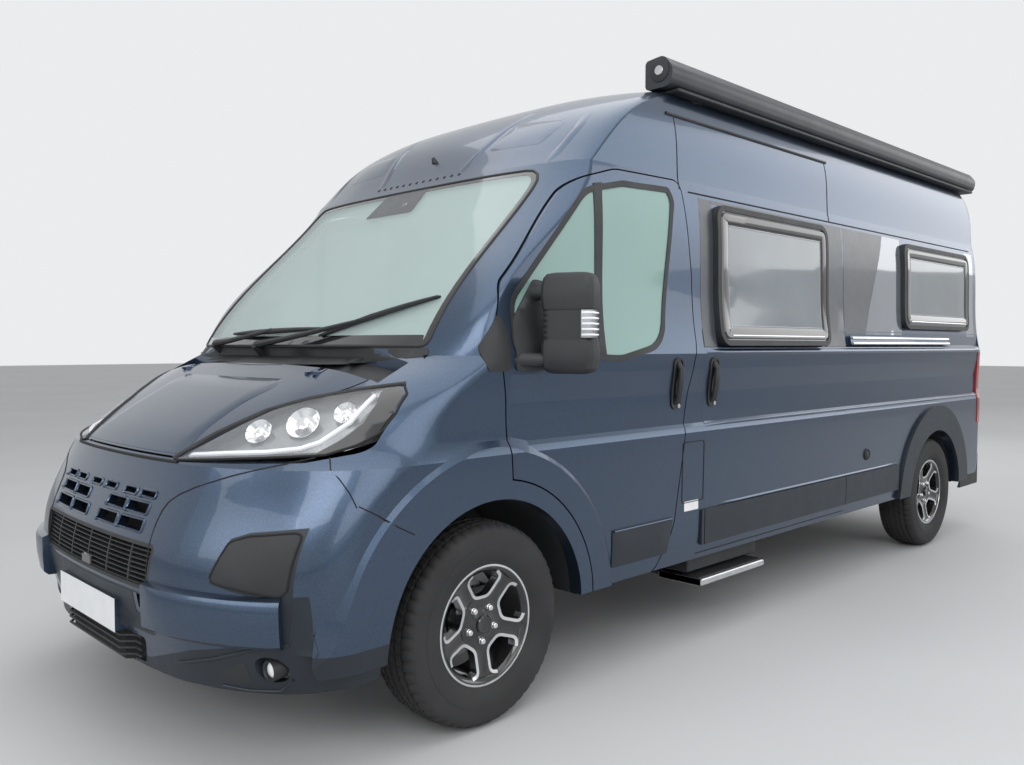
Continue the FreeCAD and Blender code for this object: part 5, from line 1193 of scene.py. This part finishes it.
SEAT_Y0, SEAT_Y1 = FRONT_Y + 0.58, FRONT_Y + 1.11
TILT = math.radians(-12)
seats = []
for side, name in SIDES:
    x = side * 0.47
    pivot = (x, FRONT_Y + 1.04, 0.95)
    back0 = (x - 0.24, FRONT_Y + 1.045, 0.965)
    back1 = (x + 0.24, FRONT_Y + 1.165, 1.63)
    seats.append(pad("seat_cushion_" + name, (x - 0.24, SEAT_Y0 + 0.01, 0.905), (x + 0.24, SEAT_Y1 - 0.06, 1.005), 0.018,
                     SEAT))
    seats.append(pad("seat_back_" + name, back0, back1, 0.0, SEAT, TILT, pivot))
    seats.append(pad("head_rest_" + name, (x - 0.13, FRONT_Y + 1.055, 1.685), (x + 0.13, FRONT_Y + 1.145, 1.865), 0.0,
                     SEAT, TILT, pivot))
    posts = Build()
    for dx in (-0.07, 0.07):
        a = Matrix.Rotation(TILT, 3, "X") @ Vector((0, 0.06, 0.64))
        b = Matrix.Rotation(TILT, 3, "X") @ Vector((0, 0.06, 0.78))
        posts.tube([Vector(pivot) + a + Vector((dx, 0, 0)), Vector(pivot) + b + Vector((dx, 0, 0))], 0.007, 8)
    posts.add("head_rest_posts_" + name, "van", STEEL)
    Build().box((x - 0.205, FRONT_Y + 0.645, 0.641), (x + 0.205, FRONT_Y + 1.075, 0.9), 0.02).add(
        "seat_base_" + name, "van", DASH)
for piece in seats:
    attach(piece, "van")
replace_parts(seats[0], "cab_seats")


# Living space: mattress, kitchen front and worktop

pads = [pad("mattress_" + tag, (x0, 1.405, 1.001), (x1, 2.815, 1.12), 0.006, BED, soften=False)
        for tag, x0, x1 in (("a", -0.94, -0.315), ("b", -0.31, 0.31), ("c", 0.315, 0.94))]
for piece in pads:
    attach(piece, "van")
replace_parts(pads[0], "mattress")
Build().box((-0.965, -0.506, 1.3), (-0.462, 0.944, 1.326), 0.006).add("worktop", "van", DASH)
Build().box((-0.9, -0.42, 1.326), (-0.58, 0.02, 1.329), 0.001).add("hob", "van", GLOSS)
Build().tube([(-0.74, 0.36 + 0.15 * math.sin(a), 1.328) for a in (math.tau * k / 24 for k in range(24))], 0.004, 6,
             False).add("sink_edge", "van", STEEL)
for k in range(3):
    y = -0.49 + 0.48 * k
    for z0, z1 in ((0.7, 1.08), (1.1, 1.28)):
        Build().box((-0.482, y, z0), (-0.466, y + 0.455, z1), 0.004).add(
            "kitchen_front_%d_%d" % (k, int(z0 * 100)), "van", WOOD)
        Build().tube([(-0.46, y + 0.18, z1 - 0.03), (-0.46, y + 0.275, z1 - 0.03)], 0.006, 8).add(
            "kitchen_handle_%d_%d" % (k, int(z0 * 100)), "van", STEEL)


# Camera, light and floor

def camera():
    place = Vector((3.2124, -4.0748, 1.3349))
    yaw, pitch, roll = 0.7932, 0.0420, -0.0009
    ahead = Vector((-math.sin(yaw) * math.cos(pitch), math.cos(yaw) * math.cos(pitch), -math.sin(pitch)))
    across = ahead.cross(Vector((0, 0, 1))).normalized()
    up = across.cross(ahead)
    turned = Matrix.Rotation(roll, 3, ahead)
    across, up = turned @ across, turned @ up
    lens = bpy.data.cameras.new("Camera")
    lens.sensor_fit = "HORIZONTAL"
    lens.sensor_width = 36.0
    lens.lens = 881.8 / 1024 * 36.0
    lens.clip_end = 200
    cam = bpy.data.objects.new("Camera", lens)
    cam.matrix_world = Matrix.Translation(place) @ Matrix((across, up, -ahead)).transposed().to_4x4()
    bpy.context.scene.collection.objects.link(cam)
    bpy.context.scene.camera = cam


def lamp(name, place, target, size, power):
    data = bpy.data.lights.new(name, "AREA")
    data.shape = "RECTANGLE"
    data.size, data.size_y = size
    data.energy = power
    light = bpy.data.objects.new(name, data)
    light.location = place
    light.rotation_euler = (Vector(target) - Vector(place)).to_track_quat("-Z", "Y").to_euler()
    bpy.context.scene.collection.objects.link(light)


def studio():
    world = bpy.data.worlds.new("World")
    bpy.context.scene.world = world
    world.use_nodes = True
    tree = world.node_tree
    tree.nodes.clear()
    out = tree.nodes.new("ShaderNodeOutputWorld")
    mix = tree.nodes.new("ShaderNodeMixShader")
    plain = tree.nodes.new("ShaderNodeBackground")
    seen = tree.nodes.new("ShaderNodeBackground")
    path = tree.nodes.new("ShaderNodeLightPath")
    coords = tree.nodes.new("ShaderNodeTexCoord")
    split = tree.nodes.new("ShaderNodeSeparateXYZ")
    ramp = tree.nodes.new("ShaderNodeValToRGB")
    ramp.color_ramp.elements[0].position = 0.42
    ramp.color_ramp.elements[0].color = (0.2, 0.2, 0.2, 1)
    ramp.color_ramp.elements[1].position = 1.0
    ramp.color_ramp.elements[1].color = (0.95, 0.97, 1.0, 1)
    middle = ramp.color_ramp.elements.new(0.56)
    middle.color = (0.42, 0.43, 0.44, 1)
    clear = tree.nodes.new("ShaderNodeMath")
    clear.operation = "ADD"
    clear.use_clamp = True
    both = tree.nodes.new("ShaderNodeMath")
    both.operation = "ADD"
    both.use_clamp = True
    half = tree.nodes.new("ShaderNodeMapRange")
    half.inputs["From Min"].default_value = -1
    tree.links.new(coords.outputs["Generated"], split.inputs["Vector"])
    tree.links.new(split.outputs["Z"], half.inputs["Value"])
    tree.links.new(half.outputs["Result"], ramp.inputs["Fac"])
    tree.links.new(ramp.outputs["Color"], plain.inputs["Color"])
    plain.inputs["Strength"].default_value = 0.75
    seen.inputs["Color"].default_value = (0.83, 0.84, 0.85, 1)
    seen.inputs["Strength"].default_value = 1.0
    tree.links.new(path.outputs["Is Camera Ray"], clear.inputs[0])
    tree.links.new(path.outputs["Is Transmission Ray"], clear.inputs[1])
    tree.links.new(clear.outputs["Value"], both.inputs[0])
    tree.links.new(path.outputs["Is Glossy Ray"], both.inputs[1])
    tree.links.new(both.outputs["Value"], mix.inputs["Fac"])
    tree.links.new(plain.outputs["Background"], mix.inputs[1])
    tree.links.new(seen.outputs["Background"], mix.inputs[2])
    tree.links.new(mix.outputs["Shader"], out.inputs["Surface"])
    lamp("Overhead", (0.5, -0.5, 6.5), (0, 0, 0), (7, 9), 260)
    lamp("Key", (6.2, -7.5, 6.0), (0.6, -1.2, 1.0), (5, 4), 260)
    lamp("Far", (7.5, 12.0, 6.0), (0.5, 0, 1.5), (12, 6), 380)
    lamp("Side", (7.5, -1.5, 3.6), (0, 0.4, 1.2), (5, 5), 150)
    lamp("Front", (1.0, -8.5, 3.0), (0, -2, 1.0), (6, 3), 120)
    lamp("Back", (-4.0, 7.5, 3.5), (0, 1, 1.2), (6, 3), 80)
    floor = bpy.data.meshes.new("Floor")
    floor.from_pydata([(-60, -60, 0), (60, -60, 0), (60, 60, 0), (-60, 60, 0)], [], [(0, 1, 2, 3)])
    ground = bpy.data.objects.new("Floor", floor)
    bpy.context.scene.collection.objects.link(ground)
    pale = Paint("pale_floor").set(specular=0.2)
    pale.colour(pale.noise(0.4), [(0.3, (0.5, 0.505, 0.51)), (0.7, (0.54, 0.545, 0.55))])
    pale.roughness(pale.noise(1.5), 0.5, 0.6)
    floor.materials.append(pale.mat)


camera()
studio()
bpy.context.scene.view_settings.view_transform = "Standard"
